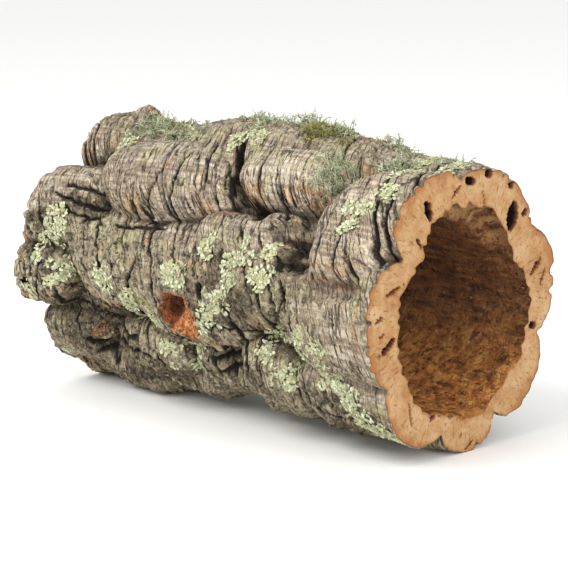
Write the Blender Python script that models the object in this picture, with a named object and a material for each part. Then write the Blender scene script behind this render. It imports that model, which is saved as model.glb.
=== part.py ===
"""Cork bark tube: one hollow length of virgin cork bark with the lichens that grew on it.

The tube lies along X, with its two sawn ends at X = -0.15 and X = +0.15 m, and rests on flattened spots
of its lowest lobes at Z = 0. Metres and degrees throughout. A place on the bark is given by x and by its
clock angle: 0 at the top, 90 at the front (-Y), 180 underneath, 270 at the back.

The bark's outer surface is a core radius with cushion-shaped lobes swelling out of it, notched round the
tube by weather cracks. Each lichen follows that surface and sits 0.35 mm clear of it.
"""

import math
from typing import NamedTuple

import bmesh
import bpy
import numpy as np
from mathutils import Vector

# Driving dimensions of the tube
LENGTH = 0.300
CORE_RADIUS = 0.0625  # the bark's outside at the bottom of the furrows between its lobes
BORE_RADIUS = 0.0575
THINNEST_WALL = 0.0055
BOW = 0.004  # rise of the tube's middle above the line through its ends
AXIS_Y = -0.0007
REST_DROP = 0.0818  # from the tube's axis down to the surface that it rests on
SWELL = 0.0013  # height of the slow unevenness between the lobes

# Weather cracks. They run round the tube and drift along it as they do.
CRACK_PITCH = 0.0125
CRACK_DEPTH = 0.0032
CRACK_WIDTH = 0.0030
CRACK_DRIFT = 0.042
CRACK_DRIFT_CENTRE = 35.0

# The lobes hang over the furrow below them, by SAG degrees of clock for each metre of height
SAG = 170.0
SAG_CENTRE = 45.0
SAG_REACH = 32.0

# Fineness of the model
STATIONS = 70  # steps along the outside
BORE_STATIONS = 12
SECTORS = 60  # steps round the tube

# Lichens
SEAT_GAP = 0.00035
ROOT_DEPTH = 0.0020
LEAF_RIM_HEIGHT = 0.0016
LEAF_RIDGE_HEIGHT = 0.0024
LEAF_MIDDLE_HEIGHT = 0.0018
LEAF_RIPPLE = 0.0007
TUFT_SKIRT_HEIGHT = 0.0012
TUFT_CORE_HEIGHT = 0.0035
STRAND_RADIUS = 0.0009
SEED = 23


class Lobe(NamedTuple):
    """A cushion of bark. Along the tube its centre drifts round by lean degrees for each metre, and round the
    tube it drifts along by skew metres for each degree."""

    name: str
    x: float
    clock: float
    half_length: float
    half_angle: float
    height: float
    lean: float = 0.0
    skew: float = 0.0


LOBES = (
    # The seven lobes that the near saw cut goes through, clockwise from the top
    Lobe("near_upper", 0.134, 32, 0.044, 28, 0.0230, -320),
    Lobe("near_front", 0.128, 90, 0.051, 33, 0.0180),
    Lobe("near_low_front", 0.122, 142, 0.054, 26, 0.0205),
    Lobe("near_under", 0.108, 185, 0.074, 22, 0.0218),
    Lobe("near_low_back", 0.105, 228, 0.070, 28, 0.0215),
    Lobe("near_back", 0.108, 280, 0.068, 32, 0.0215),
    Lobe("near_crown", 0.118, 335, 0.060, 36, 0.0200),
    # The near upper lobe hangs further down behind the cut
    Lobe("near_skirt", 0.121, 59, 0.025, 17, 0.0240, -100),
    # Top and upper front
    Lobe("mid_crown", -0.003, 352, 0.072, 38, 0.0290),
    Lobe("crest", 0.052, 350, 0.046, 36, 0.0245),
    Lobe("saddle_crown", -0.098, 348, 0.038, 36, 0.0210),
    Lobe("far_crown", -0.146, 347, 0.030, 36, 0.0280),
    Lobe("mid_upper", 0.049, 25, 0.044, 20, 0.0230, 0, 0.0002),
    Lobe("far_upper", -0.047, 34, 0.063, 29, 0.0245, -110, 0.0009),
    # Front
    Lobe("far_shoulder", -0.133, 57, 0.045, 27, 0.0195),
    Lobe("far_front", -0.143, 95, 0.036, 18, 0.0215),
    Lobe("front_far", -0.063, 84, 0.050, 29, 0.0165, 0, 0.0006),
    Lobe("front_mid", 0.004, 90, 0.052, 34, 0.0172),
    Lobe("front_tongue", 0.026, 63, 0.026, 15, 0.0165),
    Lobe("front_near", 0.055, 80, 0.032, 27, 0.0165),
    Lobe("arch_shelf", 0.060, 60, 0.018, 16, 0.0165),
    # Lower front
    Lobe("far_low_front", -0.132, 142, 0.040, 24, 0.0145),
    Lobe("far_under", -0.128, 170, 0.036, 22, 0.0195),
    Lobe("low_far", -0.085, 166, 0.034, 27, 0.0245),
    Lobe("low_front_mid", -0.050, 138, 0.034, 22, 0.0165),
    Lobe("low_under", -0.036, 165, 0.034, 22, 0.0195),
    Lobe("low_hollow", 0.014, 152, 0.034, 30, 0.0130),
    Lobe("low_knob", 0.058, 138, 0.025, 25, 0.0185, 250),
    Lobe("low_knob_under", 0.041, 167, 0.027, 20, 0.0195),
    # Underside and back
    Lobe("under_mid", 0.004, 190, 0.044, 24, 0.0160),
    Lobe("under_far", -0.100, 199, 0.054, 22, 0.0260),
    Lobe("low_back_far", -0.085, 243, 0.070, 25, 0.0200),
    Lobe("low_back_mid", 0.012, 234, 0.050, 24, 0.0180, 60),
    Lobe("back_far", -0.100, 288, 0.058, 26, 0.0215),
    Lobe("back_mid", -0.006, 274, 0.056, 27, 0.0190, -70),
    Lobe("upper_back_far", -0.105, 320, 0.044, 22, 0.0200),
    Lobe("upper_back_mid", -0.020, 310, 0.058, 25, 0.0215),
)


class Hollow(NamedTuple):
    """A dent between or in the lobes, given like a lobe, with the depth that it takes off them."""

    name: str
    x: float
    clock: float
    half_length: float
    half_angle: float
    depth: float
    skew: float = 0.0
    lean: float = 0.0


HOLLOWS = (
    Hollow("upper_arch", 0.0720, 56, 0.0105, 7, 0.0110),
    Hollow("lower_arch", 0.0860, 68, 0.0115, 7, 0.0160),
    Hollow("near_crease", 0.1200, 77, 0.0240, 4.5, 0.0045, 0, -100),
    Hollow("crown_split", 0.0150, 34, 0.0036, 17, 0.0110, 0.0009),
    Hollow("split_mouth", 0.0450, 49, 0.0090, 4, 0.0090),
    Hollow("low_slots", 0.0250, 128, 0.0150, 10, 0.0060),
    Hollow("far_slot", -0.0950, 140, 0.0140, 4, 0.0080),
    Hollow("front_gap", 0.0740, 97, 0.0035, 6, 0.0080),
)
HOLLOW_FLOOR = -0.0010  # no hollow goes deeper than this below the core radius


class Outcrop(NamedTuple):
    """A pointed lump of crumbling cork that stands on the bark."""

    name: str
    x: float
    clock: float
    half_length: float
    half_angle: float
    height: float


OUTCROPS = (
    Outcrop("far_rock", -0.124, 352, 0.0100, 9, 0.0080),
    Outcrop("crown_knob", -0.013, 8, 0.0070, 6, 0.0030),
)


class Pit(NamedTuple):
    """A hollow eaten or drilled into the cork. Its oval mouth is half_u by half_v, and it narrows inwards."""

    name: str
    x: float
    clock: float
    radius: float
    half_u: float
    half_v: float
    depth: float
    turn: float


# The knot hole opens in the bark (half_u along X, half_v round the tube)
KNOT_HOLE = Pit("knot_hole", -0.003, 103, 0.080, 0.0150, 0.0140, 0.0150, 15)
# Voids open in the near sawn face (half_u along the radius, half_v round the tube)
FACE_VOIDS = (
    Pit("void_back", LENGTH / 2, 320.5, 0.0640, 0.0085, 0.0030, 0.0220, 10),
    Pit("void_front", LENGTH / 2, 28.0, 0.0690, 0.0052, 0.0019, 0.0120, 0),
    Pit("void_crown", LENGTH / 2, 355.5, 0.0735, 0.0020, 0.0034, 0.0060, 0),
)


class Rosette(NamedTuple):
    """A patch of leaf lichen, size along X by breadth round the tube, with its edge cut into leaves."""

    name: str
    x: float
    clock: float
    size: float
    breadth: float
    leaves: int


ROSETTES = (
    Rosette("leaf_lichen_far_shoulder", -0.117, 70, 0.011, 0.013, 8),
    Rosette("leaf_lichen_far_front", -0.112, 91, 0.012, 0.011, 8),
    Rosette("leaf_lichen_front_a", -0.066, 91, 0.010, 0.009, 7),
    Rosette("leaf_lichen_front_b", -0.049, 100, 0.010, 0.008, 7),
    Rosette("leaf_lichen_above_hole", -0.004, 85, 0.016, 0.008, 9),
    Rosette("leaf_lichen_left_of_hole", -0.0275, 108, 0.006, 0.010, 7),
    Rosette("leaf_lichen_below_hole", -0.010, 123, 0.008, 0.012, 8),
    Rosette("leaf_lichen_low_front", -0.012, 140, 0.009, 0.009, 7),
    Rosette("leaf_lichen_right_of_hole", 0.033, 92, 0.010, 0.013, 8),
    Rosette("leaf_lichen_mid_a", 0.044, 78, 0.007, 0.012, 7),
    Rosette("leaf_lichen_mid_b", 0.067, 79, 0.009, 0.009, 8),
    Rosette("leaf_lichen_knob", 0.071, 126, 0.009, 0.009, 7),
    Rosette("leaf_lichen_near_a", 0.070, 106, 0.008, 0.010, 7),
    Rosette("leaf_lichen_near_b", 0.104, 100, 0.010, 0.013, 8),
    Rosette("leaf_lichen_near_c", 0.113, 119, 0.012, 0.013, 9),
    Rosette("leaf_lichen_near_d", 0.132, 134, 0.012, 0.012, 9),
    Rosette("leaf_lichen_near_upper", 0.124, 43, 0.007, 0.014, 7),
    Rosette("leaf_lichen_back_a", -0.070, 262, 0.013, 0.011, 9),
    Rosette("leaf_lichen_back_b", 0.085, 291, 0.014, 0.012, 9),
)


class Tuft(NamedTuple):
    """A bush of beard lichen: spread is the radius of its foot, reach the length of its longest strands."""

    name: str
    x: float
    clock: float
    spread: float
    reach: float
    strands: int


TUFTS = (
    Tuft("shrub_lichen_far_crown", -0.098, 2, 0.012, 0.014, 18),
    Tuft("shrub_lichen_mid_crown", -0.022, 352, 0.010, 0.010, 15),
    Tuft("shrub_lichen_crest", 0.018, 354, 0.011, 0.009, 15),
    Tuft("shrub_lichen_near_crown", 0.048, 358, 0.010, 0.010, 15),
    Tuft("shrub_lichen_upper", 0.090, 24, 0.014, 0.017, 21),
    Tuft("shrub_lichen_shoulder", 0.112, 10, 0.011, 0.013, 15),
)


def clear_scene():
    for old in list(bpy.data.objects):
        bpy.data.objects.remove(old)


def around(clock, centre):
    """Signed angle from centre to clock, in degrees, from -180 to 180."""
    return (clock - centre + 180.0) % 360.0 - 180.0


def uneven(x, clock, cell, sectors, seed):
    """Smooth seeded noise from -1 to 1: its cells are cell long, with sectors of them round the tube."""
    columns = int(LENGTH * 1.2 / cell) + 3
    knots = np.random.default_rng(seed).uniform(-1.0, 1.0, (columns, sectors))
    u = (np.asarray(x, float) + LENGTH * 0.6) / cell
    v = np.asarray(clock, float) / 360.0 * sectors
    i, j = np.floor(u).astype(int), np.floor(v).astype(int)
    s, t = u - i, v - j
    s, t = s * s * (3 - 2 * s), t * t * (3 - 2 * t)
    i = np.clip(i, 0, columns - 2)
    low = knots[i, j % sectors] * (1 - t) + knots[i, (j + 1) % sectors] * t
    high = knots[i + 1, j % sectors] * (1 - t) + knots[i + 1, (j + 1) % sectors] * t
    return low * (1 - s) + high * s


def bump(x, clock, form):
    """1 in the middle of a lobe or hollow and 0 outside it, falling steeply at its edge."""
    lean = getattr(form, "lean", 0.0)
    aside = around(clock, form.clock + lean * (x - form.x))
    along = np.abs(x - form.x - form.skew * around(clock, form.clock)) / form.half_length
    across = np.abs(aside) / form.half_angle
    return np.clip(1.0 - along**3.6 - across**2.3, 0.0, 1.0) ** 0.5


def lobe_height(x, clock):
    """Height of the tallest lobe over each place, with a crease where two of them meet, less the hollows."""
    blend = 11.0  # the higher this power, the sharper the crease
    total = np.zeros(np.broadcast(x, clock).shape)
    for lobe in LOBES:
        total += (lobe.height * bump(x, clock, lobe)) ** blend
    height = total ** (1.0 / blend)
    for hollow in HOLLOWS:
        cut = np.maximum(height - hollow.depth * bump(x, clock, hollow), HOLLOW_FLOOR)
        height = np.minimum(height, cut)
    return height


def cracks(x, clock):
    """Depth of the weather cracks, which open and close along the way."""
    drift = CRACK_DRIFT * np.sin(np.radians(clock - CRACK_DRIFT_CENTRE))
    wander = 0.42 * uneven(x, clock, 0.030, 9, 3) + 0.20 * uneven(x, clock, 0.012, 18, 4)
    phase = (x - drift) / CRACK_PITCH + wander
    off = np.abs(phase - np.round(phase)) * CRACK_PITCH
    gape = np.clip(0.55 + 0.75 * uneven(x, clock, 0.011, 14, 5), 0.0, 1.0)
    return CRACK_DEPTH * gape * np.exp(-((off / CRACK_WIDTH * 1.4) ** 2))


def bark_radius(x, clock):
    """Outer radius of the bark at x and clock."""
    x, clock = np.asarray(x, float), np.asarray(clock, float)
    rough = SWELL * uneven(x, clock, 0.025, 16, 1) + 0.5 * SWELL * uneven(x, clock, 0.010, 30, 2)
    lobes = lobe_height(x, clock)
    lumps = 0.0
    for lump in OUTCROPS:
        reach = np.hypot((x - lump.x) / lump.half_length, around(clock, lump.clock) / lump.half_angle)
        lumps = lumps + lump.height * np.clip(1.0 - reach**1.6, 0.0, 1.0)
    return CORE_RADIUS + lobes + rough + lumps - cracks(x, clock) * np.clip(lobes / 0.012, 0.1, 1.0)


def bore_radius(x, clock):
    """Inner radius. Under a thin furrow the bore draws in, to leave the thinnest wall."""
    swells = (
        (54, 17, -0.0075),
        (95, 20, -0.0020),
        (150, 16, 0.0025),
        (193, 18, 0.0055),
        (240, 16, 0.0040),
        (266, 10, 0.0030),
        (308, 26, -0.0080),
        (20, 14, 0.0025),
    )
    radius = BORE_RADIUS + 0.0012 * uneven(x, clock, 0.040, 12, 7)
    for centre, width, height in swells:
        radius = radius + height * np.exp(-((around(clock, centre) / width) ** 2))
    return np.minimum(radius, bark_radius(x, clock) - THINNEST_WALL)


def axis_height(x):
    """Height of the tube's axis above the resting surface."""
    return REST_DROP + BOW * (1.0 - (np.asarray(x) / (LENGTH / 2)) ** 2)


def place(x, clock, radius):
    """Point at x, clock and radius. The lobes of the upper front sag over the furrow below them, and no point
    lies below the resting surface, so that the lowest lobes stand flat."""
    sag = SAG * np.exp(-((around(clock, SAG_CENTRE) / SAG_REACH) ** 2))
    turn = np.radians(clock + sag * (radius - CORE_RADIUS))
    y = AXIS_Y - radius * np.sin(turn)
    z = np.maximum(axis_height(x) + radius * np.cos(turn), 0.0)
    return np.stack(np.broadcast_arrays(x, y, z), axis=-1)


def bark_table():
    """Outer radii at the model's own stations and sectors, which the lichens sit on."""
    x = np.linspace(-LENGTH / 2, LENGTH / 2, STATIONS + 1)
    clock = np.arange(SECTORS) * 360.0 / SECTORS
    return bark_radius(x[:, None], clock[None, :])


def on_model(x, clock, table):
    """Outer radius of the faceted bark at x and clock, between the model's own corners."""
    u = np.clip((np.asarray(x) / LENGTH + 0.5) * STATIONS, 0, STATIONS - 1e-6)
    v = np.asarray(clock) % 360.0 / 360.0 * SECTORS
    i, j = np.floor(u).astype(int), np.floor(v).astype(int) % SECTORS
    s, t = u - i, v - np.floor(v)
    k = (j + 1) % SECTORS
    near = table[i, j] * (1 - t) + table[i, k] * t
    far = table[i + 1, j] * (1 - t) + table[i + 1, k] * t
    return near * (1 - s) + far * s


def material(name, colour, roughness):
    made = bpy.data.materials.new(name)
    made.use_nodes = True
    shader = made.node_tree.nodes["Principled BSDF"]
    shader.inputs["Base Color"].default_value = (*colour, 1.0)
    shader.inputs["Roughness"].default_value = roughness
    shader.inputs["Metallic"].default_value = 0.0
    return made


def new_object(name, bm, finish=None):
    """An object from bm, with outward faces. A cutter has no finish and is left out of the render."""
    bmesh.ops.recalc_face_normals(bm, faces=bm.faces)
    mesh = bpy.data.meshes.new(name)
    bm.to_mesh(mesh)
    bm.free()
    made = bpy.data.objects.new(name, mesh)
    bpy.context.scene.collection.objects.link(made)
    if finish is None:
        made.hide_render = True
        made.display_type = "WIRE"
    else:
        mesh.materials.append(finish)
    return made


def extruded_ring(bm, stations, closed):
    """Extrudes a ring of points through stations, each an (x, radii) pair, and joins or caps its ends."""
    clock = np.arange(SECTORS) * 360.0 / SECTORS
    rings = [[bm.verts.new(p) for p in place(x, clock, radii)] for x, radii in stations]
    pairs = list(zip(rings, rings[1:] + rings[:1])) if closed else list(zip(rings, rings[1:]))
    for ring, after in pairs:
        for j in range(SECTORS):
            k = (j + 1) % SECTORS
            bm.faces.new((ring[j], ring[k], after[k], after[j]))
    if not closed:
        bm.faces.new(rings[0])
        bm.faces.new(rings[-1])
    sides = [face for face in bm.faces if len(face.verts) == 4]
    bmesh.ops.triangulate(bm, faces=sides, quad_method="FIXED")


def tube_object(finish):
    """The bark tube: its outside from the far end to the near end, then its bore back again."""
    clock = np.arange(SECTORS) * 360.0 / SECTORS
    outside = [(x, bark_radius(x, clock)) for x in np.linspace(-LENGTH / 2, LENGTH / 2, STATIONS + 1)]
    bore = [(x, bore_radius(x, clock)) for x in np.linspace(LENGTH / 2, -LENGTH / 2, BORE_STATIONS + 1)]
    bm = bmesh.new()
    extruded_ring(bm, outside + bore, closed=True)
    tube = new_object("cork_tube", bm, finish)
    tube.data.shade_smooth()
    tube.data.set_sharp_from_angle(angle=math.radians(50))
    return tube


def clearance_object():
    """The bark's outside without its bore, grown by the gap at which the lichens sit."""
    clock = np.arange(SECTORS) * 360.0 / SECTORS
    along = np.linspace(-LENGTH / 2, LENGTH / 2, STATIONS + 1)
    outside = [(x, bark_radius(x, clock) + SEAT_GAP) for x in along]
    far = (-LENGTH / 2 - SEAT_GAP, outside[0][1])
    near = (LENGTH / 2 + SEAT_GAP, outside[-1][1])
    bm = bmesh.new()
    extruded_ring(bm, [far, *outside, near], closed=False)
    return new_object("lichen_clearance", bm)


def subtract(target, cutter):
    cut = target.modifiers.new(cutter.name, "BOOLEAN")
    cut.operation = "DIFFERENCE"
    cut.object = cutter


def pit_cutter(pit, mouth, inward, along_u, along_v):
    """A tapered oval plug from just outside mouth to the bottom of the pit."""
    sides = 10
    outside = 0.012  # how far the plug stands out of the surface
    bm = bmesh.new()
    levels = ((-outside, 1.15), (0.0, 1.0), (pit.depth * 0.7, 0.72), (pit.depth, 0.40))
    turn = math.radians(pit.turn)
    rings = []
    for level, share in levels:
        ring = []
        for k in range(sides):
            angle = 2 * math.pi * k / sides
            u, v = pit.half_u * share * math.cos(angle), pit.half_v * share * math.sin(angle)
            offset = along_u * (u * math.cos(turn) - v * math.sin(turn))
            offset += along_v * (u * math.sin(turn) + v * math.cos(turn))
            ring.append(bm.verts.new(mouth + inward * level + offset))
        rings.append(ring)
    for ring, after in zip(rings, rings[1:]):
        for k in range(sides):
            m = (k + 1) % sides
            bm.faces.new((ring[k], ring[m], after[m], after[k]))
    bm.faces.new(rings[0])
    bm.faces.new(rings[-1])
    return new_object(pit.name, bm)


def outward_at(clock):
    turn = math.radians(clock)
    return Vector((0.0, -math.sin(turn), math.cos(turn)))


def cut_pits(tube):
    along_x = Vector((1.0, 0.0, 0.0))
    out = outward_at(KNOT_HOLE.clock)
    mouth = Vector(place(KNOT_HOLE.x, KNOT_HOLE.clock, bark_radius(KNOT_HOLE.x, KNOT_HOLE.clock)))
    subtract(tube, pit_cutter(KNOT_HOLE, mouth, -out, along_x, out.cross(along_x)))
    for void in FACE_VOIDS:
        out = outward_at(void.clock)
        mouth = Vector(place(void.x, void.clock, void.radius))
        subtract(tube, pit_cutter(void, mouth, -along_x, out, out.cross(along_x)))


def leaf_edge(rosette, angle, phase):
    """Share of the rosette's size at this angle: rounded leaves with narrow cuts between them."""
    wave = np.abs(np.cos(0.5 * rosette.leaves * angle + phase))
    return 0.62 + 0.38 * wave**0.6 + 0.07 * np.sin(2 * angle + 3 * phase)


def rosette_object(rosette, table, clearance, finish, index):
    """A patch that follows the bark, with a leafy edge and leaves raised from its middle by a formula."""
    phase = float(np.random.default_rng(SEED + index).uniform(0, math.pi))
    steps = 3 * rosette.leaves
    angle = np.arange(steps) * 2 * math.pi / steps
    edge = leaf_edge(rosette, angle, phase)
    ripple = LEAF_RIPPLE * np.cos(rosette.leaves * angle + 2 * phase)
    bm = bmesh.new()

    def ring_at(share, height):
        x = rosette.x + rosette.size * share * edge * np.cos(angle)
        spread = rosette.breadth * share * edge * np.sin(angle)
        clock = rosette.clock + np.degrees(spread / CORE_RADIUS / 1.2)
        return [bm.verts.new(p) for p in place(x, clock, on_model(x, clock, table) + height)]

    foot = ring_at(0.92, -ROOT_DEPTH)
    outer = ring_at(1.00, LEAF_RIM_HEIGHT + ripple)
    inner = ring_at(0.45, LEAF_RIDGE_HEIGHT - ripple)
    middle_radius = on_model(rosette.x, rosette.clock, table) + LEAF_MIDDLE_HEIGHT
    middle = bm.verts.new(place(rosette.x, rosette.clock, middle_radius))
    for k in range(steps):
        m = (k + 1) % steps
        bm.faces.new((foot[k], foot[m], outer[m], outer[k]))
        bm.faces.new((outer[k], outer[m], inner[m], inner[k]))
        bm.faces.new((inner[k], inner[m], middle))
    bm.faces.new(foot)
    made = new_object(rosette.name, bm, finish)
    subtract(made, clearance)
    return made


def strand_object(name, root, tip, bend, radius):
    """One tapered, bent, three-sided strand from root to tip."""
    bm = bmesh.new()
    run = tip - root
    side = run.orthogonal().normalized()
    other = run.normalized().cross(side)
    rings = []
    for share, width in ((0.0, 1.0), (0.55, 0.85)):
        middle = root + run * share + bend * math.sin(math.pi * share)
        ring = []
        for k in range(3):
            turn = 2 * math.pi * k / 3
            spoke = side * math.cos(turn) + other * math.sin(turn)
            ring.append(bm.verts.new(middle + spoke * radius * width))
        rings.append(ring)
    point = bm.verts.new(tip)
    bm.faces.new(rings[0])
    for k in range(3):
        m = (k + 1) % 3
        bm.faces.new((rings[0][k], rings[0][m], rings[1][m], rings[1][k]))
        bm.faces.new((rings[1][k], rings[1][m], point))
    return new_object(name, bm)


def tuft_object(tuft, table, clearance, finish, index):
    """A low domed foot on the bark, with strands standing out of it on all sides, joined in one body."""
    rng = np.random.default_rng(SEED * 10 + index)
    steps = 10
    angle = np.arange(steps) * 2 * math.pi / steps
    bm = bmesh.new()

    def ring_at(share, height):
        x = tuft.x + tuft.spread * share * np.cos(angle)
        clock = tuft.clock + np.degrees(tuft.spread * share * np.sin(angle) / (CORE_RADIUS * 1.3))
        return [bm.verts.new(p) for p in place(x, clock, on_model(x, clock, table) + height)]

    foot = ring_at(0.65, -ROOT_DEPTH)
    skirt = ring_at(0.70, TUFT_SKIRT_HEIGHT)
    shoulder = ring_at(0.42, TUFT_CORE_HEIGHT)
    crown_radius = on_model(tuft.x, tuft.clock, table)
    crown = bm.verts.new(place(tuft.x, tuft.clock, crown_radius + TUFT_CORE_HEIGHT * 1.25))
    for k in range(steps):
        m = (k + 1) % steps
        bm.faces.new((foot[k], foot[m], skirt[m], skirt[k]))
        bm.faces.new((skirt[k], skirt[m], shoulder[m], shoulder[k]))
        bm.faces.new((shoulder[k], shoulder[m], crown))
    bm.faces.new(foot)
    made = new_object(tuft.name, bm, finish)

    strands = bpy.data.collections.new(tuft.name + "_strands")
    bpy.context.scene.collection.children.link(strands)
    out = outward_at(tuft.clock)
    along = Vector((1.0, 0.0, 0.0))
    across = out.cross(along)
    base = Vector(place(tuft.x, tuft.clock, crown_radius))
    for k in range(tuft.strands):
        upright = k % 3 == 0
        turn = 2 * math.pi * (k + 0.5 * rng.random()) / tuft.strands
        away = along * math.cos(turn) + across * math.sin(turn)
        lift = 2.2 + rng.random() if upright else 0.5 + 0.6 * rng.random()
        from_middle = 0.15 if upright else 0.40
        foot_at = base + away * tuft.spread * from_middle + out * 0.0010
        heading = (away + out * lift).normalized()
        tip = foot_at + heading * tuft.reach * (0.75 + 0.25 * rng.random())
        bend = out * tuft.reach * 0.12 * rng.uniform(0, 1) + across * tuft.reach * 0.1 * rng.uniform(-1, 1)
        strand = strand_object(f"strand_{k}", foot_at, tip, bend, STRAND_RADIUS)
        bpy.context.scene.collection.objects.unlink(strand)
        strands.objects.link(strand)
    join = made.modifiers.new("join_strands", "BOOLEAN")
    join.operation = "UNION"
    join.operand_type = "COLLECTION"
    join.collection = strands
    subtract(made, clearance)
    bake(made)
    drop_scraps(made)
    for strand in list(strands.objects):
        bpy.data.objects.remove(strand)
    bpy.data.collections.remove(strands)
    return made


def bake(made):
    """Replaces an object's mesh by what its modifiers make of it."""
    graph = bpy.context.evaluated_depsgraph_get()
    finished = bpy.data.meshes.new_from_object(made.evaluated_get(graph))
    made.modifiers.clear()
    made.data = finished


def drop_scraps(made):
    """Keeps the largest of an object's bodies, where the bark has cut the others off it."""
    bm = bmesh.new()
    bm.from_mesh(made.data)
    left = set(bm.faces)
    bodies = []
    while left:
        body, edge = set(), [left.pop()]
        while edge:
            face = edge.pop()
            body.add(face)
            for side in face.edges:
                for other in side.link_faces:
                    if len(side.link_faces) == 2 and other in left:
                        left.remove(other)
                        edge.append(other)
        bodies.append(body)
    largest = max(bodies, key=len)
    scraps = [face for body in bodies if body is not largest for face in body]
    bmesh.ops.delete(bm, geom=scraps, context="FACES")
    bm.to_mesh(made.data)
    bm.free()


def build():
    clear_scene()
    bark = material("weathered_cork_bark", (0.27, 0.21, 0.15), 0.92)
    leaf = material("leaf_lichen", (0.52, 0.58, 0.42), 0.90)
    shrub = material("shrub_lichen", (0.25, 0.31, 0.19), 0.92)
    table = bark_table()
    tube = tube_object(bark)
    cut_pits(tube)
    clearance = clearance_object()
    for index, rosette in enumerate(ROSETTES):
        rosette_object(rosette, table, clearance, leaf, index)
    for index, tuft in enumerate(TUFTS):
        tuft_object(tuft, table, clearance, shrub, index)


build()
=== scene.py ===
# Looks of a cork bark tube: a sawn length of virgin cork bark with the lichens that grew on it.
import math

import bpy
import numpy as np
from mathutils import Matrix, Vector


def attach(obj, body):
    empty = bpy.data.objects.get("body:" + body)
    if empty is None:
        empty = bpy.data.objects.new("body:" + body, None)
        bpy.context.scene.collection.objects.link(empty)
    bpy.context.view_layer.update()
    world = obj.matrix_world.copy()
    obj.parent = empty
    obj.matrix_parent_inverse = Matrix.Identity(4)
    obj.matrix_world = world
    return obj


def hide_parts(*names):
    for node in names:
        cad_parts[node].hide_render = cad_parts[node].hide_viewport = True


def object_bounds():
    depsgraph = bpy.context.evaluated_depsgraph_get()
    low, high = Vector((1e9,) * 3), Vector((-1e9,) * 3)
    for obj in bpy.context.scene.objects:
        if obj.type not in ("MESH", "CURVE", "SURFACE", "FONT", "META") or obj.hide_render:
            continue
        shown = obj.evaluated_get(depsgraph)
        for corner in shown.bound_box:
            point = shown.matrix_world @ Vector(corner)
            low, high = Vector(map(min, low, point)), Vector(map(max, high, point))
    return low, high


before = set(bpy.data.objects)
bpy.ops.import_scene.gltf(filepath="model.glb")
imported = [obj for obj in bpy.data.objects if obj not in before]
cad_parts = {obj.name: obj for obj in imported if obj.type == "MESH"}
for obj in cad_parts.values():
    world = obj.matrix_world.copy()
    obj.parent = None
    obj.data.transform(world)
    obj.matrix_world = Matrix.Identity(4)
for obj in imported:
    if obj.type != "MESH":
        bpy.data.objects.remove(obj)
cadLow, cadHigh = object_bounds()
boxMargin = 0.0001             # how far the looks stay inside the solids' box
repeatRows = 257               # cells after which the fine patterns repeat

# Clock angles are in degrees round the tube: 0 is the top, 90 the front (-Y), 180 the underside.
tube = {
    "length": 0.300,
    "coreRadius": 0.0625,
    "boreRadius": 0.0575,
    "thinnestWall": 0.0055,
    "faceRadius": 0.065,       # a radius in the sawn face, to measure its pattern round the axis
    "bow": 0.004,              # how far the axis rises in the middle
    "axisY": -0.0007,
    "restDrop": 0.0818,        # height of the axis at the ends
    "swell": 0.0013,           # gentle unevenness
    "crackDrift": 0.042,       # how far a crack moves along the tube on its way round
    "crackDriftCentre": 35,
    "sag": 170,                # degrees per metre by which tall lobes hang over
    "sagCentre": 45,
    "sagReach": 32,
    "hollowFloor": -0.0010,
    "blend": 11.0,
    "seam": 0.015,             # the mesh is made in two sections that meet here
    "farRows": 226,            # outside rows of the far section, then of the near one
    "nearRows": 206,
    "columns": 352,            # columns round it
    "faceRings": 18,
    "farRings": 5,
    "boreRows": 30,            # bore rows of each section
    "sharpAngle": 62,          # edges sharper than this many degrees are shaded sharp
    "sawTexture": 0.00030,     # roughness of the near sawn face
    "cavityDepth": 0.0030,     # how far below its surroundings a point is painted quite dark, as shade
    "cavityReach": (7, 4),     # rows and columns to each side that count as its surroundings
}

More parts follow.
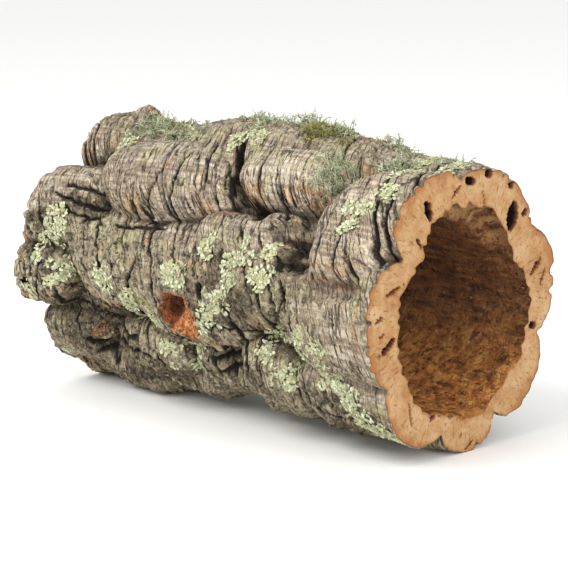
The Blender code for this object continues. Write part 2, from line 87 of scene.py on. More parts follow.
# name: x, clock, half length, half angle, height, lean (degrees per metre), skew (metres per degree)
lobes = {
    "nearUpper": (0.134, 32, 0.044, 28, 0.0230, -320, 0),
    "nearSkirt": (0.121, 59, 0.025, 17, 0.0240, -100, 0),
    "nearFront": (0.128, 90, 0.051, 33, 0.0180, 0, 0),
    "nearLowFront": (0.122, 142, 0.054, 26, 0.0205, 0, 0),
    "nearUnder": (0.108, 185, 0.074, 22, 0.0218, 0, 0),
    "nearLowBack": (0.105, 228, 0.070, 28, 0.0215, 0, 0),
    "nearBack": (0.108, 280, 0.068, 32, 0.0215, 0, 0),
    "nearCrown": (0.118, 335, 0.060, 36, 0.0200, 0, 0),
    "midCrown": (-0.003, 352, 0.072, 38, 0.0290, 0, 0),
    "crest": (0.052, 350, 0.046, 36, 0.0245, 0, 0),
    "saddleCrown": (-0.098, 348, 0.038, 36, 0.0210, 0, 0),
    "farCrown": (-0.146, 347, 0.030, 36, 0.0280, 0, 0),
    "midUpper": (0.049, 25, 0.044, 20, 0.0230, 0, 0.0002),
    "farUpper": (-0.047, 34, 0.063, 29, 0.0245, -110, 0.0009),
    "farShoulder": (-0.133, 57, 0.045, 27, 0.0195, 0, 0),
    "farFront": (-0.143, 95, 0.036, 18, 0.0215, 0, 0),
    "frontFar": (-0.063, 84, 0.050, 29, 0.0165, 0, 0.0006),
    "frontMid": (0.004, 90, 0.052, 34, 0.0172, 0, 0),
    "frontTongue": (0.026, 63, 0.026, 15, 0.0165, 0, 0),
    "frontNear": (0.055, 80, 0.032, 27, 0.0165, 0, 0),
    "archShelf": (0.060, 60, 0.018, 16, 0.0165, 0, 0),
    "farLowFront": (-0.132, 142, 0.040, 24, 0.0145, 0, 0),
    "farUnder": (-0.128, 170, 0.036, 22, 0.0195, 0, 0),
    "lowFar": (-0.085, 166, 0.034, 27, 0.0245, 0, 0),
    "lowFrontMid": (-0.050, 138, 0.034, 22, 0.0165, 0, 0),
    "lowUnder": (-0.036, 165, 0.034, 22, 0.0195, 0, 0),
    "lowHollow": (0.014, 152, 0.034, 30, 0.0130, 0, 0),
    "lowKnob": (0.058, 138, 0.025, 25, 0.0185, 250, 0),
    "lowKnobUnder": (0.041, 167, 0.027, 20, 0.0195, 0, 0),
    "underMid": (0.004, 190, 0.044, 24, 0.0160, 0, 0),
    "underFar": (-0.100, 199, 0.054, 22, 0.0260, 0, 0),
    "lowBackFar": (-0.085, 243, 0.070, 25, 0.0200, 0, 0),
    "lowBackMid": (0.012, 234, 0.050, 24, 0.0180, 60, 0),
    "backFar": (-0.100, 288, 0.058, 26, 0.0215, 0, 0),
    "backMid": (-0.006, 274, 0.056, 27, 0.0190, -70, 0),
    "upperBackFar": (-0.105, 320, 0.044, 22, 0.0200, 0, 0),
    "upperBackMid": (-0.020, 310, 0.058, 25, 0.0215, 0, 0),
}

# name: x, clock, half length, half angle, depth, lean, skew
hollows = {
    "upperArch": (0.0720, 56, 0.0105, 7, 0.0110, 0, 0),
    "lowerArch": (0.0860, 68, 0.0115, 7, 0.0160, 0, 0),
    "nearCrease": (0.1200, 77, 0.0240, 4.5, 0.0045, -100, 0),
    "crownSplit": (0.0150, 34, 0.0036, 17, 0.0110, 0, 0.0009),
    "splitMouth": (0.0450, 49, 0.0090, 4, 0.0090, 0, 0),
    "lowSlots": (0.0250, 128, 0.0150, 10, 0.0060, 0, 0),
    "farSlot": (-0.0950, 140, 0.0140, 4, 0.0080, 0, 0),
    "frontGap": (0.0740, 97, 0.0035, 6, 0.0080, 0, 0),
}

knotHole = {
    "x": -0.003,
    "clock": 103,
    "radius": 0.080,           # distance from the axis to its mouth
    "halfAlong": 0.0155,
    "halfRound": 0.0148,
    "depth": 0.0150,
    "turn": 15,
    "shallower": 0.45,         # by this share on its low side, which is crumbly
    "crumbs": (0.0014, 0.0011),        # coarse and fine
    "smoothFloor": 0.15,       # share of the crumbs on the smooth side
    "dish": 0.003,             # how far the floor rises to its rim
}

# Crumbly lumps that stand out of the crown: x, clock, half length, half angle, height
outcrops = {
    "farRock": (-0.124, 352, 0.0100, 9, 0.0080),
    "crownKnob": (-0.013, 8, 0.0070, 6, 0.0030),
    "midKnob": (0.024, 340, 0.0090, 7, 0.0025),
}

# Wide cracks that stand out in the photo: from x and clock to x and clock, half width, depth
wideCracks = [
    (0.132, 34, 0.146, 62, 0.00095, 0.0046), (0.121, 47, 0.124, 67, 0.00070, 0.0034),
    (0.108, 53, 0.111, 72, 0.00065, 0.0032), (0.140, 30, 0.148, 58, 0.00085, 0.0040),
    (-0.036, 38, -0.043, 64, 0.00070, 0.0036), (-0.026, 26, -0.018, 58, 0.00080, 0.0042),
    (-0.019, 17, 0.000, 40, 0.00080, 0.0036), (0.034, 26, 0.043, 44, 0.00075, 0.0040),
    (0.050, 30, 0.063, 46, 0.00055, 0.0026), (-0.038, 77, -0.048, 101, 0.00080, 0.0036),
    (0.002, 53, 0.015, 81, 0.00060, 0.0030), (0.002, 27, 0.012, 41, 0.00060, 0.0030),
    (-0.051, 46, -0.052, 64, 0.00055, 0.0028), (-0.067, 44, -0.055, 66, 0.00055, 0.0028),
    (0.083, 81, 0.075, 104, 0.00060, 0.0030), (0.123, 83, 0.126, 99, 0.00055, 0.0026),
    (0.094, 106, 0.092, 123, 0.00060, 0.0030), (0.055, 118, 0.055, 138, 0.00065, 0.0034),
    (-0.087, 8, -0.092, 30, 0.00060, 0.0030), (-0.128, 92, -0.134, 108, 0.00070, 0.0034),
    (-0.060, 268, -0.066, 300, 0.00070, 0.0036), (-0.001, 16, 0.015, 41, 0.00120, 0.0056),
    (0.0195, 85, 0.0205, 92, 0.00190, 0.0052), (-0.020, 117, -0.019, 124, 0.00140, 0.0040),
    (0.030, 252, 0.024, 284, 0.00070, 0.0036), (0.100, 255, 0.094, 282, 0.00060, 0.0030),
    (-0.006, 318, -0.010, 338, 0.00065, 0.0032),
]

# Slots and open layers that run along the tube: from clock and x to clock and x, half width in degrees, depth
longSlots = [
    (124, -0.003, 121, 0.041, 1.3, 0.0052), (130, 0.000, 127, 0.042, 1.1, 0.0050),
    (136, 0.006, 133, 0.038, 1.0, 0.0042), (131, -0.112, 142, -0.084, 1.5, 0.0060),
    (54, -0.128, 60, -0.078, 0.9, 0.0030), (60, -0.122, 66, -0.076, 0.8, 0.0030),
    (48, -0.122, 51, -0.090, 0.9, 0.0030), (46, 0.031, 45, 0.053, 1.8, 0.0060),
    (118, -0.104, 124, -0.052, 0.9, 0.0030), (126, -0.092, 131, -0.040, 0.9, 0.0032),
    (67, -0.070, 63, -0.022, 0.8, 0.0026), (112, -0.118, 118, -0.086, 0.8, 0.0028),
    (137, -0.120, 146, -0.092, 0.9, 0.0030), (140, 0.086, 137, 0.124, 1.0, 0.0036),
    (104, 0.026, 108, 0.052, 0.8, 0.0026), (250, -0.050, 246, 0.000, 1.0, 0.0036),
    (262, 0.060, 259, 0.110, 0.9, 0.0034), (302, -0.100, 306, -0.050, 0.9, 0.0032),
]

# Named places with their own colour: x, clock, half length, half angle
darkPlaces = [
    (-0.087, 116, 0.030, 12), (0.040, 100, 0.018, 10), (-0.097, 58, 0.022, 7), (0.031, 74, 0.008, 8),
    (-0.119, 126, 0.020, 10), (0.061, 88, 0.008, 8), (-0.032, 142, 0.030, 9), (-0.104, 137, 0.020, 6),
    (-0.118, 107, 0.014, 7), (0.104, 130, 0.028, 7), (-0.124, 344, 0.010, 5), (-0.010, 252, 0.030, 9),
    (0.090, 250, 0.030, 9), (-0.100, 262, 0.026, 8), (-0.130, 82, 0.014, 8), (0.012, 90, 0.010, 8),
    (0.046, 90, 0.008, 8), (-0.090, 128, 0.034, 9), (-0.070, 146, 0.030, 8), (0.034, 130, 0.026, 9),
    (0.108, 146, 0.020, 6), (-0.132, 66, 0.012, 8), (0.020, 102, 0.008, 10), (-0.112, 80, 0.010, 7),
    (0.028, 84, 0.007, 6),
]
# Where the crust has worn off and the bark is paler
palePlaces = [
    (0.050, 30, 0.028, 13), (0.110, 67, 0.012, 7), (0.070, 54, 0.010, 6), (0.128, 88, 0.016, 9),
    (-0.056, 30, 0.020, 6), (0.020, 276, 0.030, 9),
]
orangePlaces = [
    (0.083, 42, 0.006, 3), (0.071, 61, 0.004, 4), (0.065, 351, 0.010, 4), (0.011, 79, 0.009, 2.5),
    (-0.136, 155, 0.011, 3), (-0.103, 128, 0.004, 3), (-0.097, 125, 0.004, 3), (-0.104, 87, 0.006, 4),
    (-0.033, 70, 0.004, 2), (0.015, 52, 0.014, 2.5), (0.142, 92, 0.004, 12), (-0.111, 64, 0.005, 5),
    (-0.032, 37, 0.004, 5), (-0.124, 348, 0.006, 5), (0.120, 73.5, 0.022, 2.4), (0.020, 288, 0.006, 3),
    (-0.070, 308, 0.006, 3),
]
yellowPlaces = [
    (-0.059, 75, 0.010, 6), (0.140, 76, 0.005, 10), (-0.078, 67, 0.012, 5), (0.024, 62, 0.010, 5),
    (-0.056, 29, 0.007, 6), (-0.010, 24, 0.010, 5), (0.044, 63, 0.008, 4), (-0.049, 72, 0.008, 5),
    (0.068, 8, 0.014, 6), (-0.023, 32, 0.007, 5), (-0.042, 100, 0.010, 6), (0.120, 8, 0.020, 8),
    (-0.090, 26, 0.012, 5), (-0.030, 14, 0.020, 5), (-0.020, 300, 0.015, 8), (0.080, 270, 0.014, 8),
    (-0.110, 310, 0.014, 6), (0.030, 22, 0.020, 6), (0.070, 22, 0.014, 6), (-0.064, 16, 0.020, 6),
    (0.100, 18, 0.018, 7),
]

# Voids in the near sawn face: clock, radius, half width round, half width outward, depth, turn
faceVoids = {
    "back": (319.2, 0.0642, 0.0044, 0.0084, 0.0220, -29),
    "front": (26.8, 0.0664, 0.0024, 0.0058, 0.0140, 15),
    "crown": (356.5, 0.0727, 0.0048, 0.0024, 0.0070, 10),
    "crownSmall": (345.0, 0.0780, 0.0036, 0.0024, 0.0040, 0),
    "backHole": (313.0, 0.0730, 0.0016, 0.0018, 0.0050, 0),
    "backDent": (329.0, 0.0785, 0.0018, 0.0024, 0.0050, 0),
    "backCrack": (284.8, 0.0668, 0.0012, 0.0063, 0.0034, -29),
    "backCrackLow": (277.5, 0.0716, 0.0009, 0.0055, 0.0026, -61),
    "backNotch": (254.8, 0.0655, 0.0022, 0.0036, 0.0040, 0),
    "frontCrack": (99.8, 0.0628, 0.0017, 0.0074, 0.0044, -28),
    "frontLine": (72.2, 0.0615, 0.0008, 0.0078, 0.0024, -33),
    "frontMark": (86.0, 0.0700, 0.0008, 0.0042, 0.0018, -30),
    "frontMarkLow": (93.5, 0.0668, 0.0007, 0.0032, 0.0018, -26),
    "frontNotch": (42.6, 0.0580, 0.0012, 0.0034, 0.0040, 20),
    "crownLine": (345.3, 0.0643, 0.0006, 0.0065, 0.0018, -24),
    "crownMark": (6.8, 0.0677, 0.0009, 0.0045, 0.0022, 58),
    "lowLine": (140.0, 0.0676, 0.0006, 0.0080, 0.0014, -48),
    "lowWedge": (156.0, 0.0612, 0.0016, 0.0030, 0.0024, 15),
    "bottomMark": (185.5, 0.0785, 0.0007, 0.0045, 0.0022, 62),
}

# The bore: heights are outward for swells and inward for ridges
bore = {
    # clock, width in degrees, height
    "swells": [(54, 17, -0.0075), (95, 20, -0.0020), (150, 16, 0.0025), (193, 18, 0.0055),
               (240, 16, 0.0040), (266, 10, 0.0030), (308, 26, -0.0080), (20, 14, 0.0025)],
    "ridges": [(236, 3.0, 0.0016), (252, 2.5, 0.0018), (268, 3.5, 0.0014), (284, 2.5, 0.0016),
               (222, 3.5, 0.0010), (300, 3.0, 0.0012), (205, 4.0, 0.0009), (176, 4.0, 0.0008),
               (330, 2.5, 0.0012), (350, 3.0, 0.0010)],
    "uneven": 0.0012,
    "ridgeWaver": 4.0,                 # degrees
    "roofClock": 342,                  # middle of the roof that flares towards the near face
    "roofWidth": 31,
    "ledge": (0.1360, 0.1385),         # where along the tube the roof steps inward
    "ledgeRagged": 0.0022,
    "ledgeDrop": 0.0048,
    "ledgeSlope": 0.0030,              # how much more it drops towards the near end
    "flare": 0.0035,
    "raggedRim": (0.0016, 0.0012),     # broad and narrow teeth of the near rim
    "lumps": (0.0009, 0.0006),
}


# Signed angle from centre to clock, in degrees, from -180 to 180.
def around(clock, centre):
    return (clock - centre + 180.0) % 360.0 - 180.0


# Smooth seeded noise from -1 to 1: random values at the knots of a grid, blended by 3s^2 - 2s^3. Its pattern
# repeats after so many rows.
def gridNoise(u, clock, rows, sectors, seed):
    knots = np.random.default_rng(seed).uniform(-1.0, 1.0, (rows, sectors))
    v = np.asarray(clock, float) / 360.0 * sectors
    i, j = np.floor(u).astype(int), np.floor(v).astype(int)
    s, t = u - i, v - j
    s, t = s * s * (3 - 2 * s), t * t * (3 - 2 * t)
    low = knots[i % rows, j % sectors] * (1 - t) + knots[i % rows, (j + 1) % sectors] * t
    high = knots[(i + 1) % rows, j % sectors] * (1 - t) + knots[(i + 1) % rows, (j + 1) % sectors] * t
    return low * (1 - s) + high * s


# That noise over the tube's length and a little beyond, without a repeat.
def unevenness(x, clock, cell, sectors, seed):
    rows = int(tube["length"] * 1.2 / cell) + 3
    return gridNoise((np.asarray(x, float) + tube["length"] * 0.6) / cell, clock, rows, sectors, seed)


# And for any length.
def grain(along, clock, cell, sectors, seed):
    return gridNoise(np.asarray(along, float) / cell, clock, repeatRows, sectors, seed)


# Plates: each grid cell holds one random centre. Gives the gap between the nearest two centres' distances
# (0 on the joint between plates) and a random number for the nearest plate.
def plates(along, clock, cell, sectors, seed):
    rng = np.random.default_rng(seed)
    jitter = rng.uniform(0.15, 0.85, (repeatRows, sectors, 2))
    value = rng.uniform(-1.0, 1.0, (repeatRows, sectors))
    u, v = np.asarray(along, float) / cell, np.asarray(clock, float) / 360.0 * sectors
    i, j = np.floor(u).astype(int), np.floor(v).astype(int)
    nearest, second, own = np.full(u.shape, 9.0), np.full(u.shape, 9.0), np.zeros(u.shape)
    for di in (-1, 0, 1):
        for dj in (-1, 0, 1):
            a, b = (i + di) % repeatRows, (j + dj) % sectors
            far = np.hypot(i + di + jitter[a, b, 0] - u, j + dj + jitter[a, b, 1] - v)
            second = np.where(far < nearest, nearest, np.minimum(second, far))
            own = np.where(far < nearest, value[a, b], own)
            nearest = np.minimum(nearest, far)
    return second - nearest, own


# 0 up to low and 1 from high on, blended between them by 3t^2 - 2t^3.
def smoothStep(value, low, high):
    t = np.clip((value - low) / (high - low), 0.0, 1.0)
    return t * t * (3 - 2 * t)


# A lobe: the square root of 1 - |along|^3.6 - |across|^2.3, a plump pad with steep edges.
def lobeBump(x, clock, form):
    centreX, centreClock, halfLength, halfAngle, _, lean, skew = form
    aside = around(clock, centreClock + lean * (x - centreX))
    along = np.abs(x - centreX - skew * around(clock, centreClock)) / halfLength
    return np.clip(1.0 - along**3.6 - (np.abs(aside) / halfAngle) ** 2.3, 0.0, 1.0) ** 0.5


# The lobes are joined by a high power sum, then each hollow is cut into them.
def lobeHeight(x, clock):
    total = np.zeros(np.broadcast(x, clock).shape)
    for form in lobes.values():
        total += (form[4] * lobeBump(x, clock, form)) ** tube["blend"]
    height = total ** (1 / tube["blend"])
    for form in hollows.values():
        lowered = np.maximum(height - form[4] * lobeBump(x, clock, form), tube["hollowFloor"])
        height = np.minimum(height, lowered)
    return height


# Distance along the tube, measured so that a crack keeps one value all the way round.
def grainwise(x, clock):
    return x - tube["crackDrift"] * np.sin(np.radians(clock - tube["crackDriftCentre"]))


# Bark surface without its cracks: the core, the lobes, a gentle unevenness and the lumps, each of which
# falls off as 1 - reach^1.6.
def smoothRadius(x, clock):
    lumps = 0.0
    for centreX, centreClock, halfLength, halfAngle, height in outcrops.values():
        reach = np.hypot((x - centreX) / halfLength, around(clock, centreClock) / halfAngle)
        lumps = lumps + height * np.clip(1 - reach**1.6, 0, 1)
    rough = unevenness(x, clock, 0.025, 16, 1) + 0.5 * unevenness(x, clock, 0.010, 30, 2)
    return tube["coreRadius"] + lobeHeight(x, clock) + tube["swell"] * rough + lumps


# 1 in the middle of the bore's roof and 0 well beside it: e to the minus fourth power of the angle.
def boreRoof(clock):
    return np.exp(-((around(clock, bore["roofClock"]) / bore["roofWidth"]) ** 4))


# Bore: a round hole with broad swells, narrow ridges and lumps. Behind its flared near rim the roof steps
# inward by the ledge's height.
def boreShape(x, clock):
    radius = tube["boreRadius"] + bore["uneven"] * unevenness(x, clock, 0.040, 12, 7)
    for centre, width, height in bore["swells"]:
        radius = radius + height * np.exp(-((around(clock, centre) / width) ** 2))
    for centre, width, height in bore["ridges"]:
        waver = bore["ridgeWaver"] * unevenness(x, clock * 0, 0.035, 3, 40 + int(centre) % 17)
        strength = np.clip(0.6 + 0.8 * unevenness(x, clock * 0, 0.030, 3, 60 + int(centre) % 19), 0, 1.2)
        radius = radius - height * strength * np.exp(-((around(clock, centre + waver) / width) ** 2))
    edge = x + bore["ledgeRagged"] * grain(x * 0, clock, 1.0, 120, 42)
    ledge = boreRoof(clock) * (1 - smoothStep(edge, *bore["ledge"]))
    drop = bore["ledgeDrop"] + bore["ledgeSlope"] * smoothStep(x, 0.060, 0.110)
    radius = radius + bore["flare"] * boreRoof(clock) * smoothStep(x, 0.139, 0.1475)
    broad, narrow = bore["raggedRim"]
    ragged = broad * grain(x, clock, 0.01, 40, 25) + narrow * grain(x, clock, 0.01, 110, 26)
    broad, narrow = bore["lumps"]
    lumps = broad * grain(x, clock, 0.016, 60, 27) + narrow * grain(x, clock, 0.008, 110, 28)
    radius = radius - drop * ledge + ragged * smoothStep(x, 0.134, 0.149) + lumps
    return np.minimum(radius, smoothRadius(x, clock) - tube["thinnestWall"])


# The axis bows upward: its height is a parabola over the length.
def axisHeight(x):
    return tube["restDrop"] + tube["bow"] * (1.0 - (np.asarray(x) / (tube["length"] / 2)) ** 2)


# A point at a distance from the axis: polar coordinates round the bowed axis, turned further down the taller
# a lobe is, and never below the ground or outside the tube's own box.
def placeOnTube(x, clock, radius):
    sag = tube["sag"] * np.exp(-((around(clock, tube["sagCentre"]) / tube["sagReach"]) ** 2))
    turn = np.radians(clock + sag * (radius - tube["coreRadius"]))
    y = tube["axisY"] - radius * np.sin(turn)
    z = axisHeight(x) + radius * np.cos(turn)
    y = np.clip(y, cadLow[1] + boxMargin, cadHigh[1] - boxMargin)
    z = np.clip(z, 0.0, cadHigh[2] - boxMargin)
    return np.stack([np.broadcast_to(x, y.shape), y, z], axis=-1)


# Points kept a little inside the tube's own box.
def insideBox(points):
    return np.clip(points, np.array(cadLow) + boxMargin, np.array(cadHigh) - boxMargin)


# Fine relief of the bark
relief = {
    "crackPitch": 0.0085,      # main cracks, on average
    "crackDepth": 0.0030,
    "crackWidth": 0.00055,
    "splitPitch": 0.0036,      # smaller splits between them
    "splitDepth": 0.0011,
    "splitWidth": 0.00036,
    "plateStep": 0.0005,       # how far neighbouring plates differ in height
    "plateLean": 0.06,         # and in slope
    "raggedRim": 2.6,          # degrees by which strips end early or late at a lobe's lower rim
    "crustCell": 0.0070,       # crusty plates on the weathered front
    "crustStep": 0.0009,
    "crustCrack": 0.0009,
    "crumb": 0.00042,
    "strata": 0.0011,          # layers that run along the furrows under the upper lobes
    "layer": 0.00042,          # growth layers that cross the cracks
    "sawnRim": 0.1455,         # distance from the middle where the chipped rims of the saw cuts start
    "rimChip": 0.0024,
    "rimTooth": 0.0007,
}


# How weathered and crusty the bark is: 1 on the front and low front of the far half, 0 on the smooth upper
# lobes.
def crustiness(x, clock):
    front = smoothStep(clock, 56, 76) * (1 - smoothStep(clock, 250, 300))
    near = 1 - 0.60 * smoothStep(x, 0.075, 0.095)
    crown = 0.55 * (1 - smoothStep(np.abs(around(clock, 356)), 8, 22))
    return np.clip(front * near + crown + 0.25 * unevenness(x, clock, 0.022, 14, 31), 0, 1)


# Distance to the nearest of a family of cracks that stand about one pitch apart, each moved by a random share
# of it, with the number of the crack and the number of the plate between two cracks.
def crackDistance(along, pitch, wander, seed):
    shift = np.random.default_rng(seed).uniform(-0.36, 0.36, repeatRows)
    phase = along / pitch + wander
    middle = np.round(phase).astype(int)
    off, crack, plate = np.full(phase.shape, 9.0), middle.copy(), middle - 2
    for step in (-1, 0, 1):
        signed = phase - (middle + step) - shift[(middle + step) % repeatRows]
        crack = np.where(np.abs(signed) < np.abs(off), middle + step, crack)
        plate = np.where(signed > 0, middle + step, plate)
        off = np.where(np.abs(signed) < np.abs(off), signed, off)
    return off * pitch, crack, plate


# How steeply a lobe drops on its lower side, from 0 to 1: its height here less that 4 degrees further down.
def lowerEdge(x, clock):
    step = 4.0 * np.sign(np.sin(np.radians(clock)))
    drop = lobeHeight(x, clock) - lobeHeight(x, clock + step)
    return smoothStep(drop, 0.0012, 0.0050)


# Named wide cracks: a bell-shaped groove across a wavering line, faded out at both its ends.
def wideCrackDepth(x, clock):
    depth = np.zeros(np.broadcast(x, clock).shape)
    waver = 0.0012 * grain(x, clock, 0.010, 50, 43)
    for fromX, fromClock, toX, toClock, halfWidth, deep in wideCracks:
        share = around(clock, fromClock) / (toClock - fromClock)
        off = x + waver - (fromX + (toX - fromX) * share)
        ends = smoothStep(share, -0.06, 0.18) * (1 - smoothStep(share, 0.88, 1.10))
        depth = np.maximum(depth, deep * ends * np.exp(-((off / halfWidth) ** 2)))
    return depth


# The same across lines that run along the tube.
def longSlotDepth(x, clock):
    depth = np.zeros(np.broadcast(x, clock).shape)
    waver = 1.6 * grain(x, clock, 0.007, 24, 47) + 0.6 * grain(x, clock, 0.0025, 60, 48)
    for fromClock, fromX, toClock, toX, halfWidth, deep in longSlots:
        share = (x - fromX) / (toX - fromX)
        off = around(clock, fromClock + (toClock - fromClock) * share) + waver
        ends = smoothStep(share, -0.05, 0.15) * (1 - smoothStep(share, 0.85, 1.05))
        depth = np.maximum(depth, deep * ends * np.exp(-((off / halfWidth) ** 2)))
    return depth


# 1 inside the named places and 0 outside: each is an ellipse with a ragged edge.
def placeMark(x, clock, places, seed):
    ragged = 0.55 * grain(x, clock, 0.006, 70, seed) + 0.40 * grain(x, clock, 0.0025, 150, seed + 1)
    mark = np.zeros(np.broadcast(x, clock).shape)
    for placeX, placeClock, halfLength, halfAngle in places:
        reach = np.hypot((x - placeX) / halfLength, around(clock, placeClock) / halfAngle)
        mark = np.maximum(mark, 1 - smoothStep(reach + ragged, 0.55, 1.15))
    return mark


# Bark radius with every crack, and what the finish needs. Cracks are narrow bell-shaped grooves that open and
# close along their length. Plates between them differ a little in height and slope, and end raggedly at a
# lobe's rim.
def barkShape(x, clock):
    along = grainwise(x, clock)
    wander = 0.34 * unevenness(x, clock, 0.030, 9, 3) + 0.16 * unevenness(x, clock, 0.012, 18, 4)
    wander = wander + 0.09 * grain(x, clock, 0.004, 90, 11)
    off, crack, plate = crackDistance(along, relief["crackPitch"], wander, 5)
    bent = along + 0.0012 * grain(x, clock, 0.010, 30, 12) + 0.0003 * grain(x, clock, 0.003, 90, 13)
    wander = 0.40 * grain(x, clock, 0.020, 12, 33)
    offSmall, splitNumber, strip = crackDistance(bent, relief["splitPitch"], wander, 6)
    # random numbers of each strip and of each plate, which set their height, slope, tone and where they end
    chance = np.random.default_rng(8).uniform(-1.0, 1.0, (4, repeatRows))
    ofStrip, ofPlate = chance[:, strip % repeatRows], chance[:, plate % repeatRows]
    rimShift = relief["raggedRim"] * (0.6 * ofStrip[0] + 0.6 * ofPlate[1])

    edge = lowerEdge(x, clock)
    radius = smoothRadius(x, clock + rimShift * edge)
    lobe = lobeHeight(x, clock)
    crown = np.clip(lobe / 0.012, 0.15, 1.0)
    furrow = 1 - smoothStep(lobe, 0.003, 0.011)
    dull = placeMark(x, clock, darkPlaces, 50)
    crusty = np.maximum(crustiness(x, clock), dull)

    gape = np.clip(0.26 + 1.10 * grain(crack * 1.0, clock, 1.0, 16, 21) + 0.35 * edge, 0.0, 1.25)
    width = relief["crackWidth"] * (0.7 + 0.8 * gape + 0.5 * edge)
    main = gape * np.exp(-((off / width) ** 2))
    gape = np.clip(0.10 + 1.2 * grain(splitNumber * 1.0, clock, 1.0, 26, 34) + 0.45 * edge, 0.0, 1.0)
    width = relief["splitWidth"] * (1 + 0.6 * edge)
    split = gape * (1 - 0.5 * dull) * np.exp(-((offSmall / width) ** 2))
    lean = relief["plateLean"] * ofPlate[2] * np.clip(off, -0.004, 0.004)
    step = relief["plateStep"] * (0.7 * ofPlate[3] + 0.5 * ofStrip[0]) * (1 + 1.2 * edge)

    gap, crust = plates(bent + 0.0012 * grain(x, clock, 0.003, 110, 36), clock, relief["crustCell"], 44, 17)
    crustCrack = np.exp(-((gap / 0.09) ** 2)) * crusty * smoothStep(grain(x, clock, 0.012, 30, 37), -0.4, 0.3)
    crumbs = relief["crumb"] * (grain(x, clock, 0.0031, 140, 18) + 0.9 * grain(x, clock, 0.0019, 230, 19))
    strata = grain(x, clock + 120 * x, 0.030, 140, 41) * furrow
    strata = strata * smoothStep(clock, 30, 50) * (1 - smoothStep(clock, 85, 110))
    layer = grain(x, clock + 70 * x, 0.024, 130, 61) + 0.6 * grain(x, clock + 70 * x, 0.012, 230, 62)
    wide = np.maximum(wideCrackDepth(x, clock), longSlotDepth(x, clock))

    # the bark is calmer inside the arched pockets and beside the saw cuts, where the rim is chipped instead
    niche = np.maximum(lobeBump(x, clock, hollows["upperArch"]), lobeBump(x, clock, hollows["lowerArch"]))
    calm = (1 - 0.7 * smoothStep(np.abs(x), relief["sawnRim"], 0.1495)) * (1 - 0.85 * niche)
    main, split = main * calm, split * calm
    chips = smoothStep(grain(x * 0, clock, 1.0, 150, 44) + 0.6 * grain(x * 0, clock, 1.0, 61, 45), 0.55, 1.0)
    chips = relief["rimChip"] * chips - relief["rimTooth"] * grain(x * 0, clock, 1.0, 117, 46)

    radius = radius - crown * relief["crackDepth"] * (1 + 0.5 * edge) * main
    radius = radius - crown * relief["splitDepth"] * (1 + 0.8 * edge) * split
    radius = radius - wide * calm - chips * smoothStep(np.abs(x), relief["sawnRim"], 0.1490)
    radius = radius + crown * (step + lean + relief["crustStep"] * crust * crusty) + relief["strata"] * strata
    radius = radius + relief["layer"] * layer * crown * (1 - 0.6 * niche)
    radius = radius - relief["crustCrack"] * crustCrack * crown + crumbs * (0.30 + 1.4 * crusty + 1.3 * dull)

    dark = 1.3 * main + 1.1 * split + wide / 0.0020 + 0.8 * crustCrack + 0.7 * smoothStep(-strata, 0.15, 0.6)
    tone = 0.5 + 0.25 * ofStrip[1] + 0.25 * ofPlate[2]
    return radius, {"crack": np.clip(dark, 0, 1), "strip": tone, "crusty": crusty, "edge": edge,
                    "furrow": furrow, "darkened": dull}


# A bowl in a surface: 1 in its middle and 0 outside a turned ellipse, with steep ragged sides.
def bowl(u, v, halfU, halfV, turn, raggedness):
    c, s = math.cos(math.radians(turn)), math.sin(math.radians(turn))
    reach = np.hypot((u * c + v * s) / halfU, (v * c - u * s) / halfV) * (1 + raggedness)
    return 1 - smoothStep(reach, 0.82, 1.04), reach


# A mesh from whole arrays of points and of faces that all have as many corners.
def meshObject(name, points, faces, smooth=True):
    mesh = bpy.data.meshes.new(name)
    mesh.vertices.add(len(points))
    mesh.vertices.foreach_set("co", np.ascontiguousarray(points, np.float32).ravel())
    sides = faces.shape[1]
    mesh.loops.add(faces.size)
    mesh.loops.foreach_set("vertex_index", np.ascontiguousarray(faces, np.int32).ravel())
    mesh.polygons.add(len(faces))
    mesh.polygons.foreach_set("loop_start", np.arange(0, faces.size, sides, dtype=np.int32))
    mesh.polygons.foreach_set("use_smooth", np.full(len(faces), smooth))
    mesh.update(calc_edges=True)
    piece = bpy.data.objects.new(name, mesh)
    bpy.context.scene.collection.objects.link(piece)
    return piece


# The corners of the four-sided faces of a surface that is closed round its columns. Where its rows are
# closed too, the last one joins the first.
def gridFaces(rows, columns, closed=False):
    i, j = np.meshgrid(np.arange(rows if closed else rows - 1), np.arange(columns), indexing="ij")
    here, ahead, nextJ = i * columns, (i + 1) % rows * columns, (j + 1) % columns
    return np.stack([here + j, here + nextJ, ahead + nextJ, ahead + j], axis=-1).reshape(-1, 4)


def setAttribute(piece, name, values):
    kind, field = ("FLOAT_VECTOR", "vector") if values.ndim == 2 else ("FLOAT", "value")
    layer = piece.data.attributes.new(name, kind, "POINT")
    layer.data.foreach_set(field, np.ascontiguousarray(values, np.float32).ravel())


